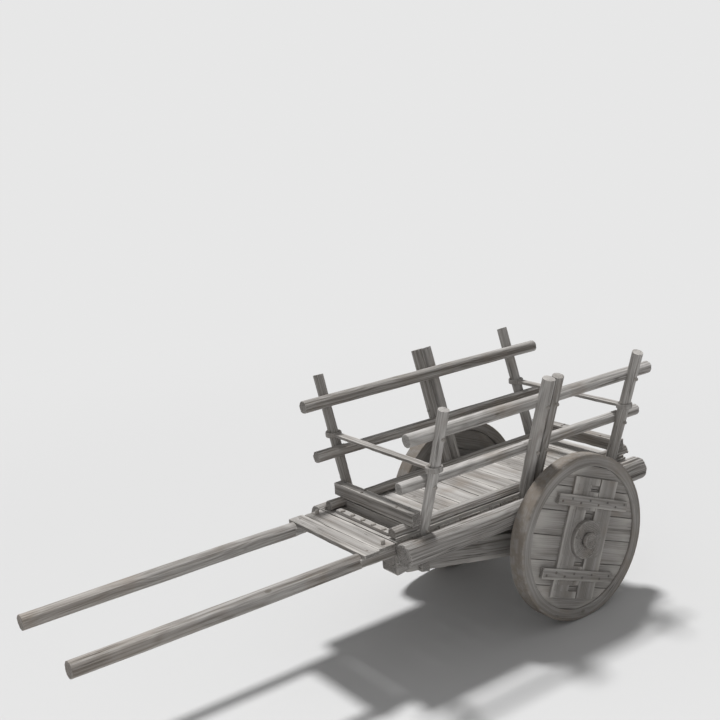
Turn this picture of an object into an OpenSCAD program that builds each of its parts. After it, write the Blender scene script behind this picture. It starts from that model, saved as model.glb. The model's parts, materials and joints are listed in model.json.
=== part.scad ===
// Two-wheeled hand cart of poles, logs and planks on solid plank wheels.
// Millimetres. +X points forward along the pull shafts, +Y to the cart's left, +Z up.
// The ground is Z = 0, and X = 0 is halfway between the shaft tips and the rear rail ends.
// Names ending in _rise are heights above the wheel axis.

/* [Wheels] */
// Outside diameter of the wheels
wheel_diameter = 900; // [860:10:960]
// Width of the tread
wheel_width = 94; // [84:2:104]
// Distance between the outer faces of the two wheels
track = 1078; // [1070:4:1110]
// Radial depth of the rim ring
rim_depth = 62; // [52:2:72]
// Turn of the wheels about the axle as they stand, board tops leaning back
wheel_turn = 21; // [0:1:45]
// Thickness of the planks that fill the rim
plank_thickness = 60; // [50:2:70]
// How far the planks lie below the outer face of the rim
plank_recess = 10; // [6:1:14]
// Pitch of the planks
plank_pitch = 132; // [126:1:138]
// Gap left between two planks
plank_gap = 4; // [3:0.5:6]
// Length of the two boards nailed across the planks
wheel_board_length = 648; // [600:4:680]
// Half the width of the two boards together
wheel_board_half = 166; // [154:1:174]
// Thickness of those boards
wheel_board_thickness = 14; // [12:1:18]
// Joint between the two boards
board_joint = 2.5; // [2:0.5:5]
// Distance of the joint from the wheel axis
board_joint_offset = 33; // [24:1:36]
// Width of the slit that the joint opens into at the ends of the boards
board_slit = 9; // [6:1:12]
// Width of the windows in the boards
window_width = 74; // [60:2:84]
// Height of the two outer windows
window_height = 34; // [28:1:44]
// Distance from the wheel axis to the outer side of the outer windows
window_far = 286; // [276:1:294]
// Distance from the wheel axis to the outer side of the windows beside the nave
window_near = 150; // [140:1:160]
// Length of the battens across the boards
batten_length = 544; // [500:4:580]
// Height of a batten
batten_height = 58; // [46:2:66]
// Thickness of a batten over the boards
batten_thickness = 12; // [10:1:16]
// Distance of a batten's middle from the wheel axis
batten_offset = 197; // [188:1:206]
// Diameter of the nave's round flange
nave_diameter = 209; // [190:1:220]
// How far the nave stands out of the rim's face
nave_stand = 28; // [22:1:40]
// Diameter of the nave where it runs through the planks
nave_core_diameter = 124; // [110:2:140]
// Nails in one batten
batten_nails = 8; // [4:1:10]
// Distance of the outer batten nails from the ends
batten_nail_edge = 28; // [20:1:36]

/* [Axle] */
// Square section of the axle beam
axle_beam = 90; // [80:2:100]
// Diameter of the round arms the wheels turn on
axle_arm_diameter = 68; // [60:2:76]
// Diameter of the caps on the ends of the axle
cap_diameter = 84; // [76:2:100]
// Length of the caps
cap_length = 26; // [20:1:40]
// Diameter of the tenon inside each cap
cap_tenon_diameter = 40; // [34:2:48]
// Length of the bolster along the cart
bolster_width = 110; // [90:2:130]

/* [Bed] */
// Height of the top of the deck boards above the wheel axis
deck_rise = 250; // [244:1:256]
// Thickness of the deck boards and the footboard
deck_thickness = 22; // [20:1:26]
// Number of boards in the deck
deck_count = 12; // [8:1:14]
// Gap between two deck boards
deck_gap = 4; // [3:0.5:8]
// Diameter of the side logs
log_diameter = 126; // [116:2:130]
// Height of the middle of the side logs above the wheel axis
log_rise = 191; // [186:1:196]
// Gap between a side log and the inner face of its wheel
log_wheel_gap = 10.5; // [8:0.5:14]
// Front end of the side logs, ahead of the wheel axis
log_front = 1071; // [1040:1:1090]
// Rear end of the side logs, behind the wheel axis
log_rear = 638; // [600:1:640]
// Diameter of the sill poles that lie on the deck
sill_diameter = 56; // [50:1:62]
// Sideways step from the middle of a side log in to its sill pole
sill_step = 98.5; // [95:0.5:102]
// Front end of the sill poles
sill_front = 1055; // [1040:1:1070]
// Rear end of the sill poles
sill_rear = 634; // [610:1:640]
// Diameter of the pins near the rear ends of the sill poles
sill_pin_diameter = 14; // [12:1:16]
// How far the upright pin stands out
sill_pin_stand = 34; // [20:1:40]
// Width of the lath beside each sill pole
lath_width = 12; // [9:1:14]
// Height of the laths and of the ledger strip
lath_height = 16; // [12:1:18]
// Height of the two end blocks
end_block_height = 69; // [60:1:80]
// Width of the two end blocks along the cart
end_block_width = 54; // [44:1:58]
// Half length of the two end blocks
end_block_reach = 335; // [320:1:345]
// Depth of the notches that let the end blocks down over the sill poles
end_block_seat = 5; // [3:0.5:8]
// How deep the nails of the end blocks go
end_nail_depth = 40; // [30:1:50]
// Diameter of their heads
end_nail_head = 16; // [12:1:20]
// Distance of the nails from the edges of the end blocks
end_nail_edge = 11; // [9:1:16]

/* [Shafts and footboard] */
// Tip of the shafts, ahead of the wheel axis
shaft_tip = 2726; // [2500:2:2800]
// Diameter of the round part of the shafts
shaft_diameter = 76; // [68:1:80]
// Sideways step from the middle of a side log in to its shaft
shaft_step = 85; // [82:0.5:88]
// Depth from the middle of a shaft up to the flat that carries the boards
shaft_flat = 19; // [15:0.5:22]
// Height of the squared part of a shaft
shaft_square_height = 44; // [38:1:48]
// Rear end of the squared part, behind the wheel axis
shaft_rear = 600; // [560:2:630]
// Width of the rear board of the footboard
foot_rear_width = 104; // [90:1:116]
// Width of the front board of the footboard
foot_board_width = 90; // [76:1:100]
// How far the front board reaches past the middle of each shaft
foot_overhang = 51.5; // [44:0.5:60]
// How much shorter the rear board is at each end
foot_step = 13; // [8:1:16]
// Half length of the ledger strip
ledger_reach = 227; // [200:1:235]
// Half length of the threshold under the front end block
threshold_reach = 242; // [225:1:244]
// Height of the threshold
threshold_thickness = 48; // [40:1:50]
// Diameter of the upright pegs in the footboard
foot_peg_diameter = 22; // [18:1:26]
// How far they stand out of the board
foot_peg_stand = 22; // [14:1:28]
// How deep they go into the shafts
foot_peg_depth = 24; // [18:1:30]
// How deep the footboard's nails go
foot_nail_depth = 44; // [34:1:52]

/* [Underframe] */
// Slope of the bearers down to the axle
bearer_slope = 10.8; // [9.5:0.1:12]
// Depth of the bearers
bearer_depth = 128; // [120:1:136]
// Thickness of the bearers
bearer_thickness = 85; // [70:1:90]
// Rear end of the bearers, behind the wheel axis
bearer_rear = 150; // [120:2:200]
// Height of a bearer's top face over the wheel axis, square to the slope
bearer_lift = 4; // [0:0.5:8]
// Square section of the tie between the bearers
tie_section = 57; // [48:1:62]
// How far the tie's ends stand out of the bearers
tie_stand = 25; // [15:1:32]
// Height of the front blocks
front_block_height = 106; // [90:1:116]
// Length of the front blocks along the cart
front_block_length = 72; // [60:1:80]
// Width of the front blocks across the cart
front_block_width = 122; // [110:1:130]

/* [Sides] */
// How deep the feet of the stakes go below the top of the deck
stake_foot_depth = 50; // [40:1:56]
// Outward lean of the stakes
stake_lean = 18.1; // [16:0.1:20]
// Height of the stake tops above the wheel axis
stake_rise = 918; // [880:2:960]
// Diameter of the front stakes
stake_front_diameter = 54; // [50:1:58]
// Diameter of the front stake of each middle pair
stake_mid_front_diameter = 66; // [58:1:68]
// Diameter of the rear stake of each middle pair
stake_mid_rear_diameter = 60; // [54:1:62]
// Diameter of the rear stakes
stake_rear_diameter = 60; // [54:1:64]
// Front stakes, ahead of the wheel axis
stake_front_x = 885; // [870:1:890]
// Middle pair, ahead of the wheel axis
stake_mid_x = 166; // [150:1:180]
// Gap between the two stakes of a pair
stake_pair_gap = 2.5; // [2:0.5:6]
// Rear stakes, behind the wheel axis
stake_rear_x = 470; // [450:1:480]
// Diameter of the upper rails
upper_rail_diameter = 67; // [60:1:72]
// Height of the upper rails above the wheel axis
upper_rail_rise = 787; // [760:1:810]
// Distance between the middles of an upper rail and its stakes
upper_rail_offset = 40; // [37:0.5:46]
// Diameter of the lower rails
lower_rail_diameter = 60; // [54:1:66]
// Height of the lower rails above the wheel axis
lower_rail_rise = 528; // [510:1:545]
// Distance between the middles of a lower rail and its stakes
lower_rail_offset = 43; // [39:0.5:46]
// Distance between the middles of a sill pole and the stakes
sill_offset = 42; // [39:0.5:45]
// Front ends of the rails, ahead of the wheel axis
rail_front = 1054; // [1000:2:1080]
// Rear ends of the rails, behind the wheel axis
rail_rear = 641; // [641:1:680]
// Height of the middle of the tie bars above the middle of the lower rails
tie_bar_lift = 76; // [68:1:90]
// Width of the tie bars
tie_bar_width = 42; // [34:1:50]
// Thickness of the tie bars
tie_bar_thickness = 17; // [14:1:22]
// Diameter of the eyes on the ends of the tie bars
tie_eye_diameter = 88; // [84:1:96]
// Height of the eyes
tie_eye_height = 30; // [26:1:36]
// Diameter of the wooden pegs
peg_diameter = 14; // [12:1:16]
// Diameter of the peg heads
peg_head_diameter = 20; // [18:1:22]
// Height of the peg heads
peg_head_height = 9; // [6:1:11]
// Diameter of the pins over the tie bars and the lower rails
pin_diameter = 12; // [10:1:14]
// How far the pins over the lower rails stand out
rail_pin_stand = 11; // [8:1:16]

/* [Clearances] */
// Gap between pieces that are let into one another
fit_gap = 0.3; // [0.2:0.05:0.4]
// Gap around pegs and nails in their holes
peg_gap = 0.2; // [0.1:0.05:0.3]
// Radial running clearance between nave and axle arm
running_gap = 0.08; // [0.04:0.01:0.1]
// End play of a wheel at each side of its nave
end_play = 0.8; // [0.5:0.1:1.2]

/* [Hidden] */
$fn = 96;
tiny = 0.01;
wheel_r = wheel_diameter / 2;
axle_z = wheel_r;
wheel_out = track / 2;
wheel_in = wheel_out - wheel_width;
rim_bore_r = wheel_r - rim_depth;
plank_out = wheel_out - plank_recess;
plank_in = plank_out - plank_thickness;
board_out = plank_out + wheel_board_thickness;
batten_out = board_out + batten_thickness;
nave_r = nave_diameter / 2;
nave_out = wheel_out + nave_stand;
nave_core_r = nave_core_diameter / 2;
nail_r = 2.5;
nail_head_r = 7;
nail_head_h = 3.5;
nail_length = 18;
batten_nail_step = (batten_length - 2 * batten_nail_edge) / (batten_nails - 1);

arm_r = axle_arm_diameter / 2;
axle_shoulder = wheel_in - end_play;
cap_in = nave_out + end_play;
cap_out = cap_in + cap_length;
cap_r = cap_diameter / 2;
cap_tenon_r = cap_tenon_diameter / 2;
tenon_length = cap_length * 0.84;

deck_z = axle_z + deck_rise;
deck_bottom = deck_z - deck_thickness;
log_r = log_diameter / 2;
log_y = wheel_in - log_wheel_gap - log_r;
log_z = axle_z + log_rise;
log_flat = 5;
log_seat_z = log_z - log_r + log_flat;
deck_half = log_y - sqrt(log_r * log_r - pow(deck_bottom - log_z, 2)) - 3;
sill_r = sill_diameter / 2;
sill_y = log_y - sill_step;
sill_z = deck_z + sill_r;
sill_pin_r = sill_pin_diameter / 2;
lath_in = sill_y + sqrt(sill_r * sill_r - pow(sill_r - lath_height, 2)) + 1;

shaft_r = shaft_diameter / 2;
shaft_y = log_y - shaft_step;
shaft_z = deck_bottom - shaft_flat;
foot_reach = shaft_y + foot_overhang;
square_bottom = deck_bottom - shaft_square_height;
square_in = shaft_y - shaft_r;
square_out = shaft_y + shaft_r;
stringer_out = log_y - log_r - 4;
foot_rear = log_front + 5;
foot_mid = foot_rear + foot_rear_width;
foot_front = foot_mid + foot_board_width;
square_front = foot_front + 16;
round_start = square_front - 6;
deck_front = foot_rear - deck_gap;
deck_rear = 592;
deck_pitch = (deck_front + deck_rear) / deck_count;
ledger_front = log_front - 26;
ledger_width = 37;

block_front = log_front + 5;
block_rear = block_front - front_block_length;
block_out = square_out;
block_in = block_out - front_block_width;
bearer_out = stringer_out + 5;
bearer_in = bearer_out - bearer_thickness;
tie_x = stake_front_x + 2;

lean_c = cos(stake_lean);
lean_s = sin(stake_lean);
stake_top = axle_z + stake_rise;
stake_foot = deck_z - stake_foot_depth;
upper_z = axle_z + upper_rail_rise;
lower_z = axle_z + lower_rail_rise;
upper_r = upper_rail_diameter / 2;
lower_r = lower_rail_diameter / 2;
upper_y = stake_y(upper_z) - upper_rail_offset / lean_c;
lower_y = stake_y(lower_z) - lower_rail_offset / lean_c;
bar_z = lower_z + tie_bar_lift;
eye_r = tie_eye_diameter / 2;
peg_r = peg_diameter / 2;
peg_head_r = peg_head_diameter / 2;
pin_r = pin_diameter / 2;

mid_front_x = stake_mid_x + (stake_mid_rear_diameter + stake_pair_gap) / 2;
mid_rear_x = mid_front_x - (stake_mid_front_diameter + stake_mid_rear_diameter) / 2 - stake_pair_gap;
stake_x = [stake_front_x, mid_front_x, mid_rear_x, -stake_rear_x];
stake_r = [
  stake_front_diameter / 2,
  stake_mid_front_diameter / 2,
  stake_mid_rear_diameter / 2,
  stake_rear_diameter / 2
];
front_block_x = stake_front_x + stake_r[0] + 4;
rear_block_x = -stake_rear_x - stake_r[3] - 4 - end_block_width;
end_block_z = sill_z + sill_r - end_block_seat;
end_nail_rear = [-284, -106, 262];
end_nail_front = [-96, 200];

mid_x = (shaft_tip - rail_rear) / 2;

wood = [0.60, 0.57, 0.53];
wood_dark = [0.50, 0.47, 0.44];
wood_light = [0.70, 0.67, 0.63];
iron = [0.30, 0.30, 0.32];

// Sideways position of a stake's middle at height z
function stake_y(z) = sill_y + sill_offset / lean_c + (z - sill_z) * tan(stake_lean);

// Puts a piece drawn from the wheel axis into the cart's frame
module placed() {
  translate([-mid_x, 0, 0])
    children();
}

// The same piece on the right-hand side
module right_side() {
  mirror([0, 1, 0])
    children();
}

// A round pole along X with slightly worn ends
module pole_x(x0, x1, y, z, r, wear = 4) {
  translate([x0, y, z])
    rotate([0, 90, 0])
      union() {
        cylinder(h = wear, r1 = r - wear, r2 = r);
        translate([0, 0, wear])
          cylinder(h = x1 - x0 - 2 * wear, r = r);
        translate([0, 0, x1 - x0 - wear])
          cylinder(h = wear, r1 = r, r2 = r - wear);
      }
}

// A straight cut for a round pole along X
module pole_cut(x0, x1, y, z, r) {
  translate([x0, y, z])
    rotate([0, 90, 0])
      cylinder(h = x1 - x0, r = r);
}

// The round body of stake i, wider by extra for the holes it stands in
module stake_body(i, extra = 0) {
  long = (stake_top - stake_foot) / lean_c;
  translate([stake_x[i], stake_y(stake_foot), stake_foot])
    rotate([-stake_lean, 0, 0])
      translate([0, 0, -extra])
        cylinder(h = long + 2 * extra, r = stake_r[i] + extra);
}

// All four stakes of the left side, as holes
module stake_holes() {
  for (i = [0:3])
    stake_body(i, fit_gap);
}

// Points a child along the pegs: square to the stakes, out and down
module peg_line(x, y, z) {
  translate([x, y, z])
    rotate([-90 - stake_lean, 0, 0])
      children();
}

// Shank of the peg that joins stake i to the pole at (y, z)
module peg_shank(i, y, z, offset, extra = 0) {
  peg_line(stake_x[i], y, z)
    translate([0, 0, -extra])
      cylinder(h = offset + stake_r[i] + 1 + extra, r = peg_r + extra);
}

// The worn round head of that peg
module peg_head(i, y, z, offset) {
  peg_line(stake_x[i], y, z)
    translate([0, 0, offset + stake_r[i] + tiny]) {
      cylinder(h = peg_head_height - 3, r = peg_head_r);
      translate([0, 0, peg_head_height - 3])
        cylinder(h = 3, r1 = peg_head_r, r2 = peg_head_r - 3.5);
    }
}

// Room in a side log for the heads of the pegs in its sill pole
module peg_head_room() {
  for (i = [0:3])
    peg_line(stake_x[i], sill_y, sill_z)
      translate([0, 0, sill_offset + stake_r[i] - 6])
        cylinder(h = peg_head_height + 6 + fit_gap, r = peg_head_r + fit_gap);
}

// Shanks of every peg of the left side
module peg_shanks(extra = 0) {
  for (i = [0:3]) {
    peg_shank(i, sill_y, sill_z, sill_offset, extra);
    peg_shank(i, lower_y, lower_z, lower_rail_offset, extra);
    peg_shank(i, upper_y, upper_z, upper_rail_offset, extra);
  }
}

// A nail standing on a level top face: head above, shank below
module nail_down(x, y, z, extra = 0) {
  translate([x, y, z]) {
    translate([0, 0, -end_nail_depth - extra])
      cylinder(h = end_nail_depth + extra + 1, r = nail_r + extra);
    if (extra == 0)
      translate([0, 0, tiny]) {
        cylinder(h = nail_head_h / 2, d = end_nail_head);
        translate([0, 0, nail_head_h / 2])
          cylinder(h = nail_head_h / 2, d1 = end_nail_head, d2 = end_nail_head * 0.6);
      }
  }
}

// Long pull shaft: round ahead of the footboard, squared under the deck
module shaft() {
  color(wood_light)
    difference() {
      union() {
        pole_x(round_start, shaft_tip, shaft_y, shaft_z, shaft_r, 7);
        translate([log_front + 1, square_in, square_bottom])
          cube([square_front - log_front - 1, 2 * shaft_r, shaft_square_height]);
        translate([-shaft_rear, square_in, square_bottom])
          cube([log_front + 2 + shaft_rear, stringer_out - square_in, shaft_square_height]);
      }
      stake_holes();
      foot_peg(1, peg_gap);
      foot_nail(1, peg_gap);
    }
}

module shaft_left() {
  placed()
    shaft();
}

module shaft_right() {
  placed()
    right_side()
      shaft();
}

// Upright peg through the rear footboard into the shaft
module foot_peg(side, extra = 0) {
  stand = extra > 0 ? 2 : foot_peg_stand;
  translate([foot_rear + foot_rear_width * 0.44, side * shaft_y, deck_bottom - foot_peg_depth - extra])
    cylinder(h = deck_thickness + foot_peg_depth + stand, d = foot_peg_diameter + 2 * extra);
}

// Nail through the front footboard into the shaft, driven flush
module foot_nail(side, extra = 0) {
  translate([foot_front - foot_board_width / 2, side * (shaft_y + 8), deck_z - 4.5]) {
    translate([0, 0, -foot_nail_depth - extra])
      cylinder(h = foot_nail_depth + extra + 1, r = nail_r + extra);
    cylinder(h = extra > 0 ? 6 : 4, r = nail_head_r + 2 + extra);
  }
}

// Front board of the footboard
module footboard_front() {
  placed()
    color(wood)
      difference() {
        translate([foot_mid + 1, -foot_reach, deck_bottom])
          cube([foot_board_width - 1, 2 * foot_reach, deck_thickness]);
        foot_nail(1, peg_gap);
        foot_nail(-1, peg_gap);
      }
}

// Rear board of the footboard
module footboard_rear() {
  placed()
    color(wood)
      difference() {
        translate([foot_rear, -foot_reach + foot_step, deck_bottom])
          cube([foot_mid - 1 - foot_rear, 2 * (foot_reach - foot_step), deck_thickness]);
        foot_peg(1, peg_gap);
        foot_peg(-1, peg_gap);
      }
}

module footboard_pegs() {
  placed()
    color(wood_dark) {
      foot_peg(1);
      foot_peg(-1);
    }
}

module footboard_nails() {
  placed()
    color(iron) {
      foot_nail(1);
      foot_nail(-1);
    }
}

// Peg heads along the ledger strip
module ledger_peg_row(extra = 0) {
  for (k = [-2:2])
    translate([ledger_front - 14, k * ledger_reach * 0.39, 0]) {
      translate([0, 0, deck_z - 12 - extra])
        cylinder(h = 12 + lath_height + 1 + extra, r = peg_r + extra);
      if (extra == 0) {
        translate([0, 0, deck_z + lath_height + tiny])
          cylinder(h = 4, r = 14);
        translate([0, 0, deck_z + lath_height + 4 + tiny])
          cylinder(h = 4, r1 = 14, r2 = 9);
      }
    }
}

// Strip pegged across the front deck board, ahead of the threshold board
module ledger_strip() {
  placed()
    color(wood_dark)
      difference() {
        translate([ledger_front - ledger_width, -ledger_reach, deck_z])
          cube([ledger_width, 2 * ledger_reach, lath_height]);
        ledger_peg_row(peg_gap);
      }
}

module ledger_pegs() {
  placed()
    color(wood_dark)
      ledger_peg_row();
}

// Timber between the sill poles that fills in under the front end block
module threshold_board() {
  placed()
    color(wood)
      translate([front_block_x + 4, -threshold_reach, deck_z])
        cube([end_block_width - 8, 2 * threshold_reach, threshold_thickness]);
}

// Nails in the top of an end block that starts at x
module end_nails(x, extra = 0) {
  for (y = end_nail_rear)
    nail_down(x + end_nail_edge + 2, y, end_block_z + end_block_height, extra);
  for (y = end_nail_front)
    nail_down(x + end_block_width - end_nail_edge, y, end_block_z + end_block_height, extra);
}

// Squared block that ties the two sill poles together, notched over them
module end_block(x) {
  color(wood)
    difference() {
      translate([x, -end_block_reach, end_block_z])
        cube([end_block_width, 2 * end_block_reach, end_block_height]);
      pole_cut(x - 1, x + end_block_width + 1, sill_y, sill_z, sill_r + fit_gap);
      pole_cut(x - 1, x + end_block_width + 1, -sill_y, sill_z, sill_r + fit_gap);
      stake_holes();
      right_side()
        stake_holes();
      end_nails(x, peg_gap);
    }
}

module end_block_front() {
  placed()
    end_block(front_block_x);
}

module end_block_rear() {
  placed()
    end_block(rear_block_x);
}

module end_block_nails() {
  placed()
    color(iron) {
      end_nails(front_block_x);
      end_nails(rear_block_x);
    }
}

// Cross boards of the deck, notched round the stakes
module deck_boards() {
  placed()
    color(wood)
      difference() {
        for (i = [0:deck_count - 1])
          translate([-deck_rear + i * deck_pitch, -deck_half, deck_bottom])
            cube([deck_pitch - deck_gap, 2 * deck_half, deck_thickness]);
        stake_holes();
        right_side()
          stake_holes();
        ledger_peg_row(peg_gap);
      }
}

// Lath lying on the deck along the outside of a sill pole
module side_lath() {
  color(wood_dark)
    difference() {
      translate([-deck_rear + 8, lath_in, deck_z])
        cube([deck_front + deck_rear - 20, lath_width, lath_height]);
      stake_holes();
      peg_shanks(peg_gap);
    }
}

module side_lath_left() {
  placed()
    side_lath();
}

module side_lath_right() {
  placed()
    right_side()
      side_lath();
}

// Upright pin and cross pin near the rear end of a sill pole
module sill_pin(extra = 0) {
  translate([-sill_rear + 3.5 * sill_pin_r + 6, sill_y, sill_z - sill_r + 6 - extra])
    cylinder(h = 2 * sill_r - 6 + sill_pin_stand + 2 * extra, r = sill_pin_r + extra);
  translate([-sill_rear + sill_pin_r + 4, sill_y, sill_z])
    rotate([-90 - stake_lean, 0, 0])
      translate([0, 0, -sill_r + 6 - extra])
        cylinder(h = 2 * sill_r + 6 + 2 * extra, r = sill_pin_r + extra);
}

// Round pole lying along the edge of the deck
module sill_pole() {
  color(wood_light)
    difference() {
      pole_x(-sill_rear, sill_front, sill_y, sill_z, sill_r, 4);
      stake_holes();
      peg_shanks(peg_gap);
      sill_pin(peg_gap);
    }
}

module sill_pole_left() {
  placed()
    sill_pole();
}

module sill_pole_right() {
  placed()
    right_side()
      sill_pole();
}

module sill_pins() {
  placed()
    color(wood_dark) {
      sill_pin();
      right_side()
        sill_pin();
    }
}

// Thick log along the side, seated on the bolster
module side_log() {
  color(wood_light)
    difference() {
      pole_x(-log_rear, log_front, log_y, log_z, log_r, 5);
      translate([-bolster_width / 2 - fit_gap, log_y - log_r - 1, log_z - log_r - 1])
        cube([bolster_width + 2 * fit_gap, 2 * log_r + 2, log_flat + 1]);
      stake_holes();
      peg_head_room();
      // slanting axe cut across the rear end
      translate([-log_rear, log_y, log_z + log_r])
        rotate([0, -38, 0])
          translate([-log_r, -log_r - 1, -8])
            cube([2 * log_r, 2 * log_r + 2, log_r]);
    }
}

module side_log_left() {
  placed()
    side_log();
}

module side_log_right() {
  placed()
    right_side()
      side_log();
}

// Squared block under the squared end of a shaft, ahead of the bearer
module front_block() {
  color(wood_dark)
    difference() {
      translate([block_rear, block_in, square_bottom - front_block_height])
        cube([front_block_length, front_block_width, front_block_height]);
      pole_cut(block_rear - 1, log_front + fit_gap, log_y, log_z, log_r + fit_gap);
      // rising underside
      translate([block_front + 1, block_in - 1, square_bottom - front_block_height])
        rotate([0, 9, 0])
          translate([-front_block_length - 10, 0, -30])
            cube([front_block_length + 10, front_block_width + 2, 30]);
    }
}

module front_block_left() {
  placed()
    front_block();
}

module front_block_right() {
  placed()
    right_side()
      front_block();
}

// Turns a child into the slope of the bearers, about the wheel axis
module sloped() {
  translate([0, 0, axle_z])
    rotate([0, -bearer_slope, 0])
      children();
}

// The tie between the bearers, let into their undersides
module tie_beam(extra = 0) {
  sloped()
    translate([tie_x / cos(bearer_slope) - tie_section / 2 - extra,
        -bearer_out - tie_stand - extra,
        bearer_lift - bearer_depth - (extra > 0 ? 20 : 0)])
      cube([tie_section + 2 * extra,
        2 * (bearer_out + tie_stand + extra),
        tie_section + (extra > 0 ? 20 + extra : 0)]);
}

// Square beam of the axle between the wheels
module axle_square(extra = 0) {
  translate([-axle_beam / 2 - extra, -axle_shoulder, axle_z - axle_beam / 2 - extra])
    cube([axle_beam + 2 * extra, 2 * axle_shoulder, axle_beam + 2 * extra]);
}

// Deep timber running down from the front block to the axle
module bearer() {
  color(wood_dark)
    difference() {
      intersection() {
        sloped()
          translate([-bearer_rear, bearer_in, bearer_lift - bearer_depth])
            cube([bearer_rear + block_rear + bearer_depth, bearer_thickness, bearer_depth]);
        translate([-2 * bearer_rear, bearer_in - 1, 0])
          cube([2 * bearer_rear + block_rear - fit_gap, bearer_thickness + 2, square_bottom]);
      }
      pole_cut(-2 * bearer_rear, block_rear + 1, log_y, log_z, log_r + fit_gap);
      axle_square(fit_gap);
      tie_beam(fit_gap);
    }
}

module bearer_left() {
  placed()
    bearer();
}

module bearer_right() {
  placed()
    right_side()
      bearer();
}

module bearer_tie() {
  placed()
    color(wood_dark)
      tie_beam();
}

// Cross timber on the axle that carries the side logs and the squared shafts
module axle_bolster() {
  placed()
    color(wood_dark)
      union() {
        translate([-bolster_width / 2, -wheel_in + 15, axle_z + axle_beam / 2])
          cube([bolster_width, 2 * wheel_in - 30, log_seat_z - axle_z - axle_beam / 2]);
        translate([-bolster_width / 2, -stringer_out, log_seat_z - 1])
          cube([bolster_width, 2 * stringer_out, square_bottom - log_seat_z + 1]);
      }
}

// Square axle with a round arm and a tenon at each end
module axle() {
  placed()
    color(wood_dark)
      union() {
        axle_square();
        for (s = [-1, 1])
          translate([0, 0, axle_z])
            rotate([-90 * s, 0, 0]) {
              translate([0, 0, axle_shoulder - arm_r / 2])
                cylinder(h = cap_in - axle_shoulder + arm_r / 2, r = arm_r);
              translate([0, 0, cap_in - 1])
                cylinder(h = tenon_length, r = cap_tenon_r);
            }
      }
}

// Round cap fixed on the end of the axle
module axle_cap() {
  color(wood)
    translate([0, 0, axle_z])
      rotate([-90, 0, 0])
        difference() {
          union() {
            translate([0, 0, cap_in])
              cylinder(h = cap_length - 6, r = cap_r);
            translate([0, 0, cap_out - 6])
              cylinder(h = 6, r1 = cap_r, r2 = cap_r - 6);
          }
          translate([0, 0, cap_in - 1])
            cylinder(h = tenon_length + peg_gap, r = cap_tenon_r + 0.05);
        }
}

module axle_cap_left() {
  placed()
    axle_cap();
}

module axle_cap_right() {
  placed()
    right_side()
      axle_cap();
}

// Pin along X through stake i above its tie-bar eye
module tie_pin(i, extra = 0) {
  long = 2 * stake_r[i] + 18;
  z = bar_z + tie_eye_height / 2 + pin_r + 2;
  translate([stake_x[i] - long / 2 - 2 * extra, stake_y(z), z])
    rotate([0, 90, 0])
      cylinder(h = long + 4 * extra, r = pin_r + extra);
}

// Pin driven into the front stake of the pair from ahead, above the lower rail
module rail_pin(extra = 0) {
  z = lower_z + lower_r + 22;
  translate([stake_x[1] - stake_r[1] / 2 - extra, stake_y(z) - 5, z])
    rotate([0, 90, 0])
      cylinder(h = stake_r[1] * 1.5 + rail_pin_stand + 2 * extra, r = pin_r + extra);
}

// Leaning stake i, hollowed where the rails and the sill pole lie against it
module stake(i) {
  color(wood_light)
    difference() {
      stake_body(i);
      pole_cut(-rail_rear, rail_front, upper_y, upper_z, upper_r + fit_gap);
      pole_cut(-rail_rear, rail_front, lower_y, lower_z, lower_r + fit_gap);
      peg_shank(i, sill_y, sill_z, sill_offset, peg_gap);
      peg_shank(i, lower_y, lower_z, lower_rail_offset, peg_gap);
      peg_shank(i, upper_y, upper_z, upper_rail_offset, peg_gap);
      if (i == 0 || i == 3)
        tie_pin(i, peg_gap);
      if (i == 1)
        rail_pin(peg_gap);
    }
}

module stake_front_left() {
  placed()
    stake(0);
}

module stake_front_right() {
  placed()
    right_side()
      stake(0);
}

module stake_mid_front_left() {
  placed()
    stake(1);
}

module stake_mid_front_right() {
  placed()
    right_side()
      stake(1);
}

module stake_mid_rear_left() {
  placed()
    stake(2);
}

module stake_mid_rear_right() {
  placed()
    right_side()
      stake(2);
}

module stake_rear_left() {
  placed()
    stake(3);
}

module stake_rear_right() {
  placed()
    right_side()
      stake(3);
}

// Round rail pegged to the inside of the stakes
module rail(y, z, r) {
  color(wood_light)
    difference() {
      pole_x(-rail_rear, rail_front, y, z, r, 4);
      peg_shanks(peg_gap);
    }
}

module rail_upper_left() {
  placed()
    rail(upper_y, upper_z, upper_r);
}

module rail_upper_right() {
  placed()
    right_side()
      rail(upper_y, upper_z, upper_r);
}

module rail_lower_left() {
  placed()
    rail(lower_y, lower_z, lower_r);
}

module rail_lower_right() {
  placed()
    right_side()
      rail(lower_y, lower_z, lower_r);
}

// Flat bar across the cart with an eye round each stake i
module tie_bar(i) {
  reach = stake_y(bar_z);
  color(wood)
    difference() {
      union() {
        translate([stake_x[i] - tie_bar_width / 2, -reach, bar_z - tie_bar_thickness / 2])
          cube([tie_bar_width, 2 * reach, tie_bar_thickness]);
        for (s = [-1, 1])
          translate([stake_x[i], s * reach, bar_z - tie_eye_height / 2])
            cylinder(h = tie_eye_height, r = eye_r);
      }
      stake_body(i, fit_gap);
      right_side()
        stake_body(i, fit_gap);
      pole_cut(-rail_rear, rail_front, lower_y, lower_z, lower_r + fit_gap);
      right_side()
        pole_cut(-rail_rear, rail_front, lower_y, lower_z, lower_r + fit_gap);
    }
}

module tie_bar_front() {
  placed()
    tie_bar(0);
}

module tie_bar_rear() {
  placed()
    tie_bar(3);
}

module tie_bar_pins() {
  placed()
    color(wood_dark) {
      tie_pin(0);
      tie_pin(3);
      right_side() {
        tie_pin(0);
        tie_pin(3);
      }
    }
}

// All pegs of one side
module stake_pegs() {
  color(wood_dark) {
    peg_shanks();
    for (i = [0:3]) {
      peg_head(i, sill_y, sill_z, sill_offset);
      peg_head(i, lower_y, lower_z, lower_rail_offset);
      peg_head(i, upper_y, upper_z, upper_rail_offset);
    }
  }
}

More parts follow.
